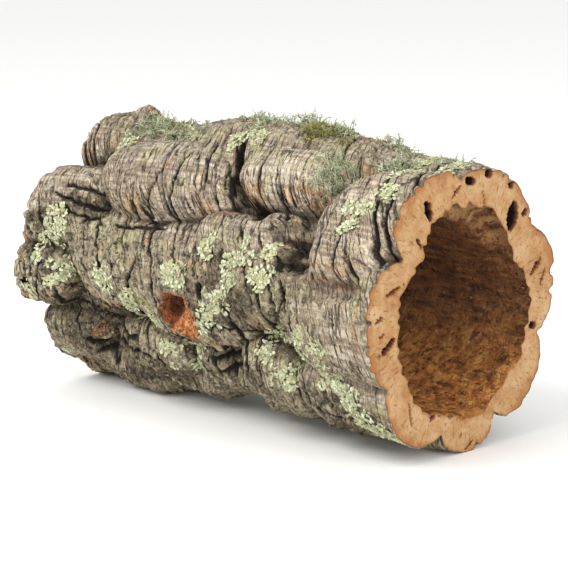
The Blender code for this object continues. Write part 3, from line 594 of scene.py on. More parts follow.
# The whole outside on one grid of x and clock, with the knot hole sunk in, and the finish's values on it.
def outsideSurface(x, clock):
    radius, marks = barkShape(x, clock)
    hole = knotHole
    ragged = 0.16 * grain(x, clock, 0.004, 70, 21)
    inside, reach = bowl(x - hole["x"], np.radians(around(clock, hole["clock"])) * hole["radius"],
                         hole["halfAlong"], hole["halfRound"], hole["turn"], ragged)
    coarse, fine = hole["crumbs"]
    crumbly = coarse * grain(x, clock, 0.003, 160, 22) + fine * grain(x, clock, 0.0018, 240, 23)
    lowSide = smoothStep(around(clock, hole["clock"]) + 600 * (x - hole["x"]), -8, 6)
    crumbly = crumbly * (hole["smoothFloor"] + (1 - hole["smoothFloor"]) * lowSide)
    floorRadius = hole["radius"] - hole["depth"] * (1 - hole["shallower"] * lowSide) + crumbly
    floorRadius = floorRadius + hole["dish"] * np.clip(reach, 0, 1) ** 2
    radius = np.where(inside > 0, radius * (1 - inside) + np.minimum(floorRadius, radius) * inside, radius)
    marks["knot"] = 1 - smoothStep(reach + 0.12 * grain(x, clock, 0.003, 90, 20), 0.96, 1.22)
    marks["knotInside"] = inside
    marks["crumbled"] = lowSide + 0.4 * grain(x, clock, 0.003, 90, 58)

    # how far each point lies below the mean of its neighbourhood, which sets the painted shade in the bark's
    # hollows
    blurred = radius
    rows, columns = tube["cavityReach"]
    for _ in range(2):
        padded = np.pad(blurred, ((rows, rows), (0, 0)), mode="edge")
        blurred = sum(padded[k:k + len(radius)] for k in range(2 * rows + 1)) / (2 * rows + 1)
        blurred = sum(np.roll(blurred, k, axis=1) for k in range(-columns, columns + 1)) / (2 * columns + 1)
    marks["paintedCavityShade"] = np.clip((blurred - radius) / tube["cavityDepth"], -1, 1)

    # bare cork shows on the steep lower edges of the lobes, and as flecks where crust has broken off
    flecks = smoothStep(grain(x, clock, 0.006, 70, 38) + 0.35 * grain(x, clock, 0.003, 140, 39), 0.80, 1.0)
    bare = marks["edge"] * smoothStep(grain(x, clock, 0.013, 34, 24), -0.35, 0.45)
    marks["bareCork"] = np.clip(bare + 0.8 * flecks, 0, 1)
    marks["yellowed"] = placeMark(x, clock, yellowPlaces, 52)
    marks["oranged"] = placeMark(x, clock, orangePlaces, 54)
    marks["paled"] = placeMark(x, clock, palePlaces, 56)
    return radius, marks


# One section of the tube is a closed ring surface: its rows run along the outside towards the near end,
# inward over the face there, back through the bore and outward over the other face. Its columns run round it.
def makeSection(name, x, clock, radius, marks, nearRings, farRings, sawnNear):
    columns = clock.size
    nearPart = (0.42, 0.13) if sawnNear else (0.5, 0.5)   # many of the bore's rows stand behind the near face
    boreX = np.interp(np.linspace(0, 1, tube["boreRows"]), (0, nearPart[0], 1), (0, nearPart[1], 1))[:, None]
    boreX = x[-1, 0] + (x[0, 0] - x[-1, 0]) * boreX
    boreRadius = boreShape(boreX, clock)
    share = (np.arange(1, nearRings + 1) / (nearRings + 1))[:, None]
    faceRadius = radius[-1] * (1 - share) + boreRadius[0] * share
    faceX, hollowed = np.full(faceRadius.shape, x[-1, 0]), np.zeros(faceRadius.shape)
    if sawnNear:
        for voidClock, voidRadius, halfRound, halfOut, depth, turn in faceVoids.values():
            arc = np.radians(around(clock, voidClock)) * voidRadius
            thin = 1.0 if min(halfRound, halfOut) < 0.0020 else 0.0
            ragged = (0.12 + 0.30 * thin) * grain(faceRadius, clock, 0.0016, 150, 29)
            inVoid, _ = bowl(arc, faceRadius - voidRadius, halfRound, halfOut, turn, ragged)
            faceX = faceX - depth * inVoid
            hollowed = np.maximum(hollowed, inVoid * min(1.0, depth / 0.020))
        faceX = faceX - tube["sawTexture"] * np.abs(grain(faceRadius, clock, 0.0025, 90, 30)) * (1 - hollowed)
    farShare = (np.arange(1, farRings + 1) / (farRings + 1))[:, None]
    farRadius = boreRadius[-1] * (1 - farShare) + radius[0] * farShare

    rowX = np.concatenate([np.broadcast_to(x, radius.shape), faceX, np.broadcast_to(boreX, boreRadius.shape),
                           np.full(farRadius.shape, x[0, 0])])
    rowRadius = np.concatenate([radius, faceRadius, boreRadius, farRadius])
    rowClock = np.broadcast_to(clock, rowX.shape)
    points = placeOnTube(rowX, rowClock, rowRadius).reshape(-1, 3)
    piece = meshObject(name, points, gridFaces(len(rowX), columns, closed=True))

    def whole(outside, onFace=0.0, inBore=0.0, onFar=0.0):
        parts = zip((outside, onFace, inBore, onFar), (radius, faceRadius, boreRadius, farRadius))
        return np.concatenate([np.broadcast_to(value, part.shape) for value, part in parts]).ravel()

    turn = np.radians(rowClock)
    across, upward = rowRadius * np.sin(turn), rowRadius * np.cos(turn)
    pattern = np.stack([grainwise(rowX, rowClock), across, upward], axis=-1)
    setAttribute(piece, "grainwise", pattern.reshape(-1, 3))
    polar = np.stack([turn * tube["faceRadius"], rowRadius, rowX * 0], axis=-1)
    setAttribute(piece, "polar", polar.reshape(-1, 3))
    for mark, values in marks.items():
        setAttribute(piece, mark, whole(values))
    setAttribute(piece, "rim", whole(0.0, share, 1.0, 1 - farShare))
    # how deep a void is; the sawn finish paints it dark there as shade
    setAttribute(piece, "hollowed", whole(0.0, hollowed))
    grooves = smoothStep(grain(clock * 0, clock, 1.0, 120, 42), -0.45, 0.15)
    ledge = boreRoof(clock) * smoothStep(boreX, 0.1350, 0.1370) * grooves
    setAttribute(piece, "ledge", whole(0.0, 0.0, ledge))
    # the row of faces from row i to i + 1 takes the finish of the side that it lies on
    boreStart = len(x) + nearRings
    finish = np.zeros(len(rowX), np.int32)
    finish[len(x) - 1:boreStart] = 1
    finish[boreStart:boreStart + len(boreX) - 1] = 2
    finish[boreStart + len(boreX) - 1:] = 1
    piece.data.polygons.foreach_set("material_index", np.repeat(finish, columns))
    piece.data.set_sharp_from_angle(angle=math.radians(tube["sharpAngle"]))
    return piece


# Both sections come from one grid, so they meet exactly.
def makeTube():
    half, seam = tube["length"] / 2, tube["seam"]
    x = np.concatenate([np.linspace(-half, seam, tube["farRows"]),
                        np.linspace(seam, half, tube["nearRows"])[1:]])[:, None]
    clock = (np.arange(tube["columns"]) / tube["columns"] * 360.0)[None, :]
    radius, marks = outsideSurface(x, clock)
    far, near = slice(0, tube["farRows"]), slice(tube["farRows"] - 1, None)
    farMarks = {mark: values[far] for mark, values in marks.items()}
    nearMarks = {mark: values[near] for mark, values in marks.items()}
    return [makeSection("barkFar", x[far], clock, radius[far], farMarks, 1, tube["farRings"], False),
            makeSection("barkNear", x[near], clock, radius[near], nearMarks, tube["faceRings"], 1, True)]


print("bark tube")
barkSections = makeTube()


# Linear colour from an sRGB hex text.
def linearColour(hexText):
    parts = [int(hexText[k:k + 2], 16) / 255 for k in (1, 3, 5)]
    return tuple(c / 12.92 if c <= 0.04045 else ((c + 0.055) / 1.055) ** 2.4 for c in parts) + (1.0,)


# Adds a node and gives one of its outputs. Inputs are values, hex colours or other nodes' outputs, by name or
# number. Stops are those of a colour ramp, and settings are the node's own properties.
def addNode(tree, kind, inputs=None, out=0, stops=(), **settings):
    node = tree.nodes.new("ShaderNode" + kind)
    for name, value in settings.items():
        setattr(node, name, value)
    for name, value in (inputs or {}).items():
        socket = node.inputs[name]
        if isinstance(value, bpy.types.NodeSocket):
            tree.links.new(value, socket)
        else:
            socket.default_value = linearColour(value) if isinstance(value, str) else value
    if stops:
        ramp = node.color_ramp
        while len(ramp.elements) < len(stops):
            ramp.elements.new(0.5)
        for element, (place, colour) in zip(ramp.elements, stops):
            element.position = place
            element.color = linearColour(colour)
    return node.outputs[out]


def newMaterial(name, roughness, specular, ior=1.5):
    material = bpy.data.materials.new(name)
    material.use_nodes = True
    shader = material.node_tree.nodes["Principled BSDF"]
    shader.inputs["Roughness"].default_value = roughness
    shader.inputs["IOR"].default_value = ior
    shader.inputs["Specular IOR Level"].default_value = specular
    return material, material.node_tree, shader


# Lays coats of colour over a tone. A coat is a value, where in it the coat starts and where it is full, how
# strong it gets, and its colour.
def layCoats(tree, tone, coats):
    for value, start, full, strength, colour in coats:
        share = addNode(tree, "MapRange", {0: value, 1: start, 2: full, 4: strength})
        tone = addNode(tree, "Mix", {0: share, 6: tone, 7: colour}, out=2, data_type="RGBA")
    return tone


# Adds a material's stretched spaces and the noises that lie in them, and gives both.
def addPatterns(tree, place, stretched, patterns):
    spaces, noise = {"place": place}, {}
    for name, scale in patterns["spaces"].items():
        spaces[name] = addNode(tree, "Mapping", {"Vector": stretched, "Scale": scale})
    for name, (space, scale, detail, roughness) in patterns["noises"].items():
        noise[name] = addNode(tree, "TexNoise", {"Vector": spaces[space], "Scale": scale, "Detail": detail,
                                                 "Roughness": roughness})
    return spaces, noise


# The product of two values. Each is given with where it starts and where it is full, and the second one may
# also count for less or more at both.
def bothOf(tree, first, start, full, second, secondStart, secondFull, least=0.0, most=1.0):
    share = addNode(tree, "MapRange", {0: first, 1: start, 2: full})
    other = addNode(tree, "MapRange", {0: second, 1: secondStart, 2: secondFull, 3: least, 4: most})
    return addNode(tree, "Math", {0: share, 1: other}, operation="MULTIPLY")


# Joins a finished colour and a height, which is a weighted sum of patterns, to the shader.
def finishSurface(tree, shader, tone, heights, depth, strength=1.0):
    height = 0.0
    for value, weight in heights:
        height = addNode(tree, "Math", {0: value, 1: weight, 2: height}, operation="MULTIPLY_ADD")
    bump = addNode(tree, "Bump", {"Height": height, "Strength": strength, "Distance": depth})
    tree.links.new(tone, shader.inputs["Base Color"])
    tree.links.new(bump, shader.inputs["Normal"])


# Weathered cork bark: dead outer cork that the growing trunk tore open. It is dull, grey-brown and matt,
# split into strips with dark cracks between, tan where the weather has not reached it and greenish where
# crusts live on it.
barkPatterns = {
    # stretched spaces: scales along the tube and round it
    "spaces": {
        "plates": (240, 34, 34),        # 4 x 30 mm plates
        "fine": (620, 110, 110),        # 1.6 x 9 mm splits
        "streaks": (420, 90, 90),       # 2.5 x 11 mm
        "hairs": (1250, 300, 300),      # 0.8 x 3 mm
        "layers": (22, 430, 430),       # growth layers 2.5 mm apart, across the cracks
        "bands": (14, 210, 210),        # and bands of them 5 mm apart
    },
    # noises: space, scale, detail, roughness
    "noises": {
        "streaks": ("streaks", 1, 5, 0.62),
        "hairs": ("hairs", 1, 4, 0.62),
        "layers": ("layers", 1, 2, 0.62),
        "bands": ("bands", 1, 3, 0.62),
        "gaping": ("place", 130, 2, 0.62),
        "stain": ("place", 28, 3, 0.62),
        "broad": ("place", 45, 4, 0.62),
        "blotch": ("place", 150, 5, 0.68),
        "grime": ("place", 260, 5, 0.70),
        "pits": ("place", 300, 4, 0.70),      # 3 mm holes in the crust
        "crumbs": ("place", 560, 3, 0.70),
        "specks": ("place", 700, 3, 0.62),
    },
    # colour ramps: the noise that drives them, then their stops
    "ramps": {
        "streaked": ("streaks", ((0.30, "#84735f"), (0.42, "#b3a089"), (0.54, "#d2c0a6"), (0.68, "#ece1cc"))),
        "blotched": ("blotch", ((0.32, "#8d7d70"), (0.46, "#bcab94"), (0.58, "#d8c8ae"), (0.72, "#eee3ca"))),
        "crust": ("grime", ((0.30, "#3b342a"), (0.42, "#796d55"), (0.52, "#a4997a"), (0.62, "#c4ba97"),
                            (0.76, "#dcd6bd"))),
        "bareCork": ("blotch", ((0.32, "#8f5c33"), (0.46, "#bd8f60"), (0.62, "#dcbf98"))),
        "dark": ("grime", ((0.34, "#261f18"), (0.50, "#54493a"), (0.70, "#8f8168"))),
        "yellow": ("grime", ((0.34, "#8b875c"), (0.50, "#b6b283"), (0.68, "#d6d2a8"))),
        "smoothBrown": ("grime", ((0.32, "#6b3518"), (0.50, "#9a572e"), (0.70, "#b97b4a"))),
        "crumbly": ("crumbs", ((0.36, "#783b1b"), (0.47, "#bd743f"), (0.58, "#dd9a64"), (0.72, "#efc096"))),
    },
}
barkMarks = ("crack", "paintedCavityShade", "strip", "crusty", "bareCork", "furrow", "knot", "knotInside", "crumbled",
             "darkened", "yellowed", "oranged", "paled")


def weatheredBark():
    material, tree, shader = newMaterial("weathered cork bark", 0.92, specular=0.25)
    read = {mark: addNode(tree, "Attribute", out="Fac", attribute_name=mark) for mark in barkMarks}
    pattern = addNode(tree, "Attribute", out="Vector", attribute_name="grainwise")
    place = addNode(tree, "TexCoord", out="Object")

    # the pattern space is bent a little, then stretched so that marks run round the tube
    bend = addNode(tree, "TexNoise", {"Vector": place, "Scale": 160.0, "Detail": 3.0}, out=1)
    push = addNode(tree, "VectorMath", {0: bend, "Scale": 0.0016}, operation="SCALE")
    bent = addNode(tree, "VectorMath", {0: pattern, 1: push}, operation="ADD")
    spaces, noise = addPatterns(tree, place, bent, barkPatterns)
    ramp = {}
    for name, (source, stops) in barkPatterns["ramps"].items():
        ramp[name] = addNode(tree, "ValToRGB", {0: noise[source]}, stops=stops)
    joint = {}
    for name in ("plates", "fine"):
        joint[name] = addNode(tree, "TexVoronoi", {"Vector": spaces[name], "Scale": 1.0},
                              feature="DISTANCE_TO_EDGE")
    cells = addNode(tree, "TexVoronoi", {"Vector": spaces["plates"], "Scale": 1.0}, out=1)
    plateTone = addNode(tree, "SeparateColor", {0: cells})

    gaping, crusty = noise["gaping"], read["crusty"]
    splits = bothOf(tree, joint["plates"], 0.075, 0.025, gaping, 0.44, 0.54)
    fine = bothOf(tree, joint["fine"], 0.10, 0.02, gaping, 0.56, 0.44)
    onBark = bothOf(tree, read["knotInside"], 0.6, 0.2, crusty, 0.3, 1.0, 1.0, 0.45)
    yellow = bothOf(tree, read["yellowed"], 0.0, 1.0, noise["blotch"], 0.42, 0.56, 0.25, 1.0)
    orange = bothOf(tree, read["oranged"], 0.0, 1.0, noise["grime"], 0.42, 0.58)
    pocks = bothOf(tree, noise["pits"], 0.44, 0.36, crusty, 0.0, 1.0)

    knotTone = layCoats(tree, ramp["smoothBrown"], [(read["crumbled"], 0.35, 0.65, 1.0, ramp["crumbly"])])
    tone = addNode(tree, "Mix", {0: 0.62, 6: ramp["streaked"], 7: ramp["blotched"]}, out=2, data_type="RGBA")
    tone = layCoats(tree, tone, [
        (noise["stain"], 0.42, 0.65, 0.45, "#cdb491"),
        (noise["stain"], 0.50, 0.34, 0.35, "#958b80"),
        (plateTone, 0.1, 0.9, 0.30, "#8a7a68"),
        (read["strip"], 0.25, 0.8, 0.30, "#8c7b67"),
        (read["paled"], 0.0, 1.0, 0.55, "#e7d8bc"),
        (noise["bands"], 0.48, 0.38, 0.50, "#84745f"),
        (noise["bands"], 0.54, 0.64, 0.35, "#f0e6d2"),
        (noise["layers"], 0.50, 0.40, 0.55, "#76665a"),
        (noise["layers"], 0.54, 0.66, 0.40, "#f1e8d6"),
        (crusty, 0.1, 1.0, 0.66, ramp["crust"]),
        (noise["broad"], 0.54, 0.68, 0.40, "#a19a63"),
        # furrows between the lobes: browner bark there, and painted shade that darkens them
        (read["furrow"], 0.1, 0.9, 0.55, "#655a42"),
        (read["bareCork"], 0.05, 0.9, 0.60, ramp["bareCork"]),
        (read["darkened"], 0.0, 1.0, 0.75, ramp["dark"]),
        (yellow, 0.0, 1.0, 0.60, ramp["yellow"]),
        (orange, 0.0, 1.0, 0.75, "#b87748"),
        (bothOf(tree, splits, 0.0, 1.0, onBark, 0.0, 1.0), 0.0, 1.0, 0.85, "#2b231c"),
        (bothOf(tree, fine, 0.0, 1.0, onBark, 0.0, 1.0), 0.0, 1.0, 0.50, "#3d332a"),
        (noise["hairs"], 0.42, 0.30, 0.40, "#4b3f33"),
        (noise["specks"], 0.60, 0.72, 0.60, "#ece3d0"),
        (noise["specks"], 0.40, 0.28, 0.50, "#463b30"),
        (read["crack"], 0.20, 0.80, 0.95, "#191410"),
        (read["knot"], 0.0, 1.0, 1.0, knotTone),
        # painted shade: darker where the bark lies below its surroundings
        (read["paintedCavityShade"], 0.15, 0.95, 0.65, "#2a221b"),
        (pocks, 0.0, 1.0, 0.85, "#2c251d"),
    ])
    finishSurface(tree, shader, tone, [
        (noise["streaks"], 0.6), (noise["hairs"], 1.0), (noise["specks"], 1.0), (noise["grime"], 1.0),
        (noise["layers"], 0.9), (noise["bands"], 1.0), (pocks, -0.9), (splits, -0.9), (fine, -0.35),
    ], 0.0011)
    return material


# Sawn cork: a clean saw cut through the cork layer. It is warm tan and matt, speckled with the dark powdery
# pores and short radial streaks that run through cork, with a darker rim under the bark.
cutPatterns = {
    # stretched spaces on the face: scales round it and outwards
    "spaces": {
        "pits": (620, 260, 1),          # 1.6 x 4 mm pits
        "radial": (900, 120, 1),        # 1 x 8 mm streaks
        "rings": (40, 800, 1),          # growth rings 1.3 mm apart
    },
    "noises": {
        "clouds": ("place", 90, 5, 0.62),
        "grit": ("place", 600, 4, 0.65),
        "pores": ("pits", 1, 3, 0.60),
        "streaks": ("radial", 1, 3, 0.62),
        "sparse": ("place", 110, 1, 0.62),
        "growth": ("rings", 1, 2, 0.62),
    },
    "tan": ((0.30, "#a27346"), (0.48, "#b68d5f"), (0.66, "#c3a178")),
}


def sawnCork():
    material, tree, shader = newMaterial("sawn cork", 0.85, specular=0.3)
    rim = addNode(tree, "Attribute", out="Fac", attribute_name="rim")
    hollowed = addNode(tree, "Attribute", out="Fac", attribute_name="hollowed")
    polar = addNode(tree, "Attribute", out="Vector", attribute_name="polar")
    place = addNode(tree, "TexCoord", out="Object")
    _, noise = addPatterns(tree, place, polar, cutPatterns)
    streaked = bothOf(tree, noise["streaks"], 0.57, 0.66, noise["sparse"], 0.44, 0.56)
    wander = addNode(tree, "MapRange", {0: noise["clouds"], 1: 0.3, 2: 0.7, 3: -0.10, 4: 0.10})
    outward = addNode(tree, "Math", {0: rim, 1: wander}, operation="ADD")
    tone = layCoats(tree, addNode(tree, "ValToRGB", {0: noise["clouds"]}, stops=cutPatterns["tan"]), [
        (noise["growth"], 0.46, 0.30, 0.35, "#9e6b3c"),
        (noise["grit"], 0.42, 0.30, 0.60, "#8c5429"),
        (noise["pores"], 0.58, 0.68, 0.75, "#7c4826"),
        (streaked, 0.0, 1.0, 0.75, "#6b351a"),
        (outward, 0.22, 0.02, 0.80, "#a0673a"),
        (rim, 0.050, 0.0, 0.90, "#5f432c"),
        (rim, 0.93, 1.0, 0.60, "#885a31"),
        # voids: a reddish cork rim, and painted shade that makes their floors black
        (hollowed, 0.005, 0.05, 0.85, "#7d3a1d"),
        (hollowed, 0.04, 0.15, 0.98, "#120804"),
    ])
    finishSurface(tree, shader, tone, [(noise["grit"], 1.0), (noise["clouds"], 1.0)], 0.0008)
    return material


# Inner cork bark: the layer that parted from the trunk. It is brown and streaked along the tube, with small
# glossy drops where sap has dried, and mottling towards the floor, which is painted lighter orange as if lit,
# while the roof is painted darker as shade.
innerPatterns = {
    "spaces": {"longways": (60, 330, 330)},     # 17 x 3 mm
    "noises": {
        "streaks": ("longways", 1, 5, 0.60),
        "lumps": ("place", 230, 3, 0.60),
        "grains": ("place", 620, 3, 0.70),
        "mottle": ("place", 140, 6, 0.74),
        "drops": ("place", 290, 1, 0.40),       # 3 mm drops
        "sparse": ("place", 60, 1, 0.62),
    },
    "brown": ((0.30, "#361d0b"), (0.45, "#643b19"), (0.58, "#885528"), (0.72, "#b27d43")),
    "mottledAndLit": ((0.34, "#6a3712"), (0.46, "#bf7431"), (0.58, "#f0a857"), (0.72, "#fbcd85")),
    "litMottleBelow": (0.074, 0.034),             # heights where the mottling, painted lighter as if lit, starts and is full
}


def innerBark():
    material, tree, shader = newMaterial("inner cork bark", 0.55, specular=0.5)
    ledge = addNode(tree, "Attribute", out="Fac", attribute_name="ledge")
    place = addNode(tree, "TexCoord", out="Object")
    _, noise = addPatterns(tree, place, place, innerPatterns)
    height = addNode(tree, "SeparateXYZ", {0: place}, out=2)
    start, full = innerPatterns["litMottleBelow"]
    # painted light and shade: the lower bore is mottled and lighter as if lit from the open end, the roof
    # darker as in shade
    low = addNode(tree, "MapRange", {0: height, 1: start, 2: full, 3: 0.08, 4: 0.98})
    brown = addNode(tree, "ValToRGB", {0: noise["streaks"]}, stops=innerPatterns["brown"])
    mottledAndLit = addNode(tree, "ValToRGB", {0: noise["mottle"]}, stops=innerPatterns["mottledAndLit"])
    tone = addNode(tree, "Mix", {0: low, 6: brown, 7: mottledAndLit}, out=2, data_type="RGBA")
    drops = bothOf(tree, noise["drops"], 0.60, 0.66, noise["sparse"], 0.48, 0.58)
    tone = layCoats(tree, tone, [
        (noise["grains"], 0.46, 0.34, 0.65, "#3a1d0b"),
        (noise["grains"], 0.58, 0.70, 0.35, "#e3b273"),
        (noise["lumps"], 0.45, 0.32, 0.70, "#3b1f0c"),
        (ledge, 0.0, 1.0, 0.85, "#b88a56"),
        (noise["streaks"], 0.44, 0.36, 0.50, "#2b1608"),
        (drops, 0.2, 0.9, 0.70, "#4a2410"),
    ])
    matt = addNode(tree, "MapRange", {0: noise["lumps"], 1: 0.35, 2: 0.65, 3: 0.75, 4: 0.32})
    gloss = addNode(tree, "MapRange", {0: drops, 1: 0.1, 2: 0.8, 3: matt, 4: 0.16})
    tree.links.new(gloss, shader.inputs["Roughness"])
    heights = [(noise[name], 1.0) for name in ("streaks", "lumps", "mottle", "grains")]
    finishSurface(tree, shader, tone, heights + [(drops, 1.0)], 0.0020)
    return material


print("bark finishes")
finishes = (weatheredBark(), sawnCork(), innerBark())
for section in barkSections:
    for finish in finishes:
        section.data.materials.append(finish)
    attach(section, "root")
    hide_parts("cork_tube")


# name of the solid: x, clock, half length along the tube, half breadth round it, number of rosettes
leafPatches = {
    "leaf_lichen_far_shoulder": (-0.117, 70, 0.011, 0.013, 12),
    "leaf_lichen_far_front": (-0.112, 91, 0.012, 0.011, 11),
    "leaf_lichen_front_a": (-0.066, 91, 0.010, 0.009, 8),
    "leaf_lichen_front_b": (-0.049, 100, 0.010, 0.008, 8),
    "leaf_lichen_above_hole": (-0.004, 85, 0.016, 0.008, 12),
    "leaf_lichen_left_of_hole": (-0.0275, 108, 0.006, 0.010, 7),
    "leaf_lichen_below_hole": (-0.010, 123, 0.008, 0.012, 9),
    "leaf_lichen_low_front": (-0.012, 140, 0.009, 0.009, 7),
    "leaf_lichen_right_of_hole": (0.033, 92, 0.010, 0.013, 11),
    "leaf_lichen_mid_a": (0.044, 78, 0.007, 0.012, 8),
    "leaf_lichen_mid_b": (0.067, 79, 0.009, 0.009, 8),
    "leaf_lichen_knob": (0.071, 126, 0.009, 0.009, 8),
    "leaf_lichen_near_a": (0.070, 106, 0.008, 0.010, 8),
    "leaf_lichen_near_b": (0.104, 100, 0.010, 0.013, 12),
    "leaf_lichen_near_c": (0.113, 119, 0.012, 0.013, 13),
    "leaf_lichen_near_d": (0.132, 134, 0.012, 0.012, 12),
    "leaf_lichen_near_upper": (0.124, 43, 0.007, 0.014, 9),
    "leaf_lichen_back_a": (-0.070, 262, 0.013, 0.011, 11),
    "leaf_lichen_back_b": (0.085, 291, 0.014, 0.012, 12),
}

# Smaller patches between them: name: x, clock, half length, half breadth, rosettes
scatteredLeaves = {
    "farEdge": (-0.138, 100, 0.008, 0.008, 4),
    "farLow": (-0.136, 141, 0.006, 0.008, 4),
    "farTop": (-0.128, 80, 0.007, 0.010, 5),
    "frontDown": (-0.052, 110, 0.005, 0.008, 4),
    "frontDeep": (-0.028, 126, 0.006, 0.010, 5),
    "lowTip": (-0.052, 150, 0.006, 0.009, 5),
    "rightOfHole": (0.019, 104, 0.004, 0.008, 4),
    "tongue": (0.022, 70, 0.005, 0.009, 5),
    "tongueLow": (0.030, 99, 0.006, 0.008, 5),
    "archEdge": (0.052, 70, 0.005, 0.008, 4),
    "pocketEdge": (0.071, 66, 0.005, 0.006, 3),
    "knobTop": (0.060, 114, 0.007, 0.007, 5),
    "nearMiddle": (0.098, 111, 0.007, 0.009, 6),
    "nearLow": (0.124, 127, 0.008, 0.008, 6),
    "nearRim": (0.143, 138, 0.005, 0.008, 4),
    "nearBright": (0.134, 32, 0.007, 0.007, 6),
    "nearCrest": (0.133, 20, 0.007, 0.009, 5),
    "splitTop": (-0.003, 20, 0.005, 0.009, 5),
    "splitCrest": (0.009, 13, 0.009, 0.007, 5),
    "crestBand": (0.117, -6, 0.014, 0.010, 9),
    "rimBand": (0.139, -1, 0.008, 0.009, 6),
    "farCrest": (-0.105, 16, 0.010, 0.007, 5),
    "backCrest": (0.060, 318, 0.012, 0.010, 7),
    "backShoulder": (-0.020, 300, 0.011, 0.010, 7),
    "backMiddle": (0.020, 262, 0.010, 0.010, 6),
    "backFar": (-0.118, 284, 0.009, 0.011, 6),
    "backNear": (0.122, 262, 0.009, 0.012, 7),
    "backLow": (-0.030, 236, 0.009, 0.009, 5),
}

leaf = {
    "length": (0.0016, 0.0032),
    "width": (0.00060, 0.00115),   # half widths; a leaf is 1 to 2 mm wide
    "thickness": 0.00022,
    "curl": 0.0009,                # how far a tip lifts off the bark
    "leavesEach": 18,              # leaves in a rosette
    "rosette": (0.0016, 0.0036),   # radius of a rosette
    "rings": 4,
    "sides": 6,
    "breadths": (0.40, 0.85, 1.0, 0.50),   # share of the width at each ring
    "rim": 0.00030,                # how far the rims curl up
    "pile": 0.0009,                # how high the leaves stack in the middle of a rosette
    "sunk": 0.0002,
    "barkRadius": 0.078,
    "tones": ((0.0, "#8b8c62"), (0.35, "#b0b386"), (0.7, "#c7caa2"), (1.0, "#dddec2")),
}


# A leaf is a flat oval section carried along a short bent path, outward from its rosette's middle. Its width
# grows as the root of s towards a rounded tip, its rims curl up, and path and section follow the bark.
def makeLeaves(name, patch, seed):
    x0, clock0, halfAlong, halfRound, rosettes = patch
    rng = np.random.default_rng(seed)
    angle = rng.uniform(0, 2 * math.pi, rosettes)
    share = np.sqrt(rng.uniform(0.0, 1.0, rosettes)) * (0.85 + 0.25 * np.sin(3 * angle + seed))
    middleX = np.repeat(halfAlong * share * np.cos(angle), leaf["leavesEach"])
    middleArc = np.repeat(halfRound * share * np.sin(angle), leaf["leavesEach"])
    count, rings, sides = len(middleX), leaf["rings"], leaf["sides"]
    reach = np.repeat(rng.uniform(*leaf["rosette"], rosettes), leaf["leavesEach"])
    bearing = rng.uniform(0, 2 * math.pi, count)
    away = reach * np.sqrt(rng.uniform(0.05, 1.0, count))
    rootX, rootArc = middleX + away * np.cos(bearing), middleArc + away * np.sin(bearing)
    heading = bearing + rng.normal(0, 0.6, count)
    length = rng.uniform(*leaf["length"], count)[:, None, None]
    width = rng.uniform(*leaf["width"], count)[:, None, None]
    bend = rng.normal(0, 0.6, count)[:, None, None]
    lift = rng.uniform(0.0, 1.0, count)[:, None, None] * leaf["curl"]
    layer = (leaf["sunk"] + leaf["pile"] * (1 - away / reach) * rng.uniform(0.3, 1.0, count))[:, None, None]
    s = np.linspace(0, 1, rings)[None, :, None]
    t = (np.arange(sides) / sides * 2 * math.pi)[None, None, :]
    side = width * np.array(leaf["breadths"])[None, :, None] * np.cos(t)
    direction = heading[:, None, None] + bend * s
    offX = length * s * np.cos(direction) - side * np.sin(direction)
    offArc = length * s * np.sin(direction) + side * np.cos(direction)
    end = tube["length"] / 2 - 0.0004
    x, clock = np.clip(x0 + rootX, -end, end), clock0 + np.degrees(rootArc / leaf["barkRadius"])
    root = placeOnTube(x, clock, smoothRadius(x, clock))
    ahead = placeOnTube(x + 0.0012, clock, smoothRadius(x + 0.0012, clock)) - root
    ahead /= np.linalg.norm(ahead, axis=1, keepdims=True)
    down = placeOnTube(x, clock + 0.8, smoothRadius(x, clock + 0.8)) - root
    out = np.cross(down, ahead)
    out /= np.linalg.norm(out, axis=1, keepdims=True)
    down = np.cross(ahead, out)
    height = layer + lift * s**2 + leaf["rim"] * np.cos(t) ** 2 - leaf["sunk"]
    height = height + leaf["thickness"] * (0.6 + 0.6 * (1 - s)) * np.sin(t)
    points = root[:, None, None, :]
    for axis, off in ((ahead, offX), (down, offArc), (out, height)):
        points = points + axis[:, None, None, :] * off[..., None]
    points = insideBox(points).reshape(-1, 3)
    base = (np.arange(count) * rings * sides)[:, None]
    quads = gridFaces(rings, sides)[:, [0, 3, 2, 1]]
    last = (rings - 1) * sides
    caps = np.array([[0, 1, 2, 3], [0, 3, 4, 5], [last + 3, last + 2, last + 1, last],
                     [last + 5, last + 4, last + 3, last]])
    faces = (base[:, :, None] + np.concatenate([quads, caps])[None]).reshape(-1, 4)
    piece = meshObject(name, points, faces)
    setAttribute(piece, "tip", np.broadcast_to(s, height.shape).ravel())
    setAttribute(piece, "rimness", np.broadcast_to(np.abs(np.cos(t)), height.shape).ravel())
    tint = rng.uniform(0, 1, count)[:, None, None]
    setAttribute(piece, "tint", np.broadcast_to(tint, height.shape).ravel())
    return piece


# Leaf lichen: a thin crust of tiny leaves with a powdery upper skin. It is pale grey-green and quite matt,
# with paler rims, darker middles and yellower patches.
def leafLichenSkin():
    material, tree, shader = newMaterial("leaf lichen", 0.95, specular=0.15)
    tip, tint, rimness = (addNode(tree, "Attribute", out="Fac", attribute_name=mark)
                          for mark in ("tip", "tint", "rimness"))
    place = addNode(tree, "TexCoord", out="Object")
    powder = addNode(tree, "TexNoise", {"Vector": place, "Scale": 900.0, "Detail": 3.0, "Roughness": 0.6})
    broad = addNode(tree, "TexNoise", {"Vector": place, "Scale": 70.0, "Detail": 2.0})
    tone = layCoats(tree, addNode(tree, "ValToRGB", {0: tint}, stops=leaf["tones"]), [
        (broad, 0.50, 0.64, 0.55, "#c2bd84"),
        (tip, 0.5, 0.0, 0.60, "#6e6b4e"),
        (rimness, 0.5, 1.0, 0.35, "#e4e4d2"),
        (powder, 0.50, 0.72, 0.35, "#e6ead8"),
    ])
    finishSurface(tree, shader, tone, [(powder, 1.0)], 0.0004, strength=0.7)
    return material


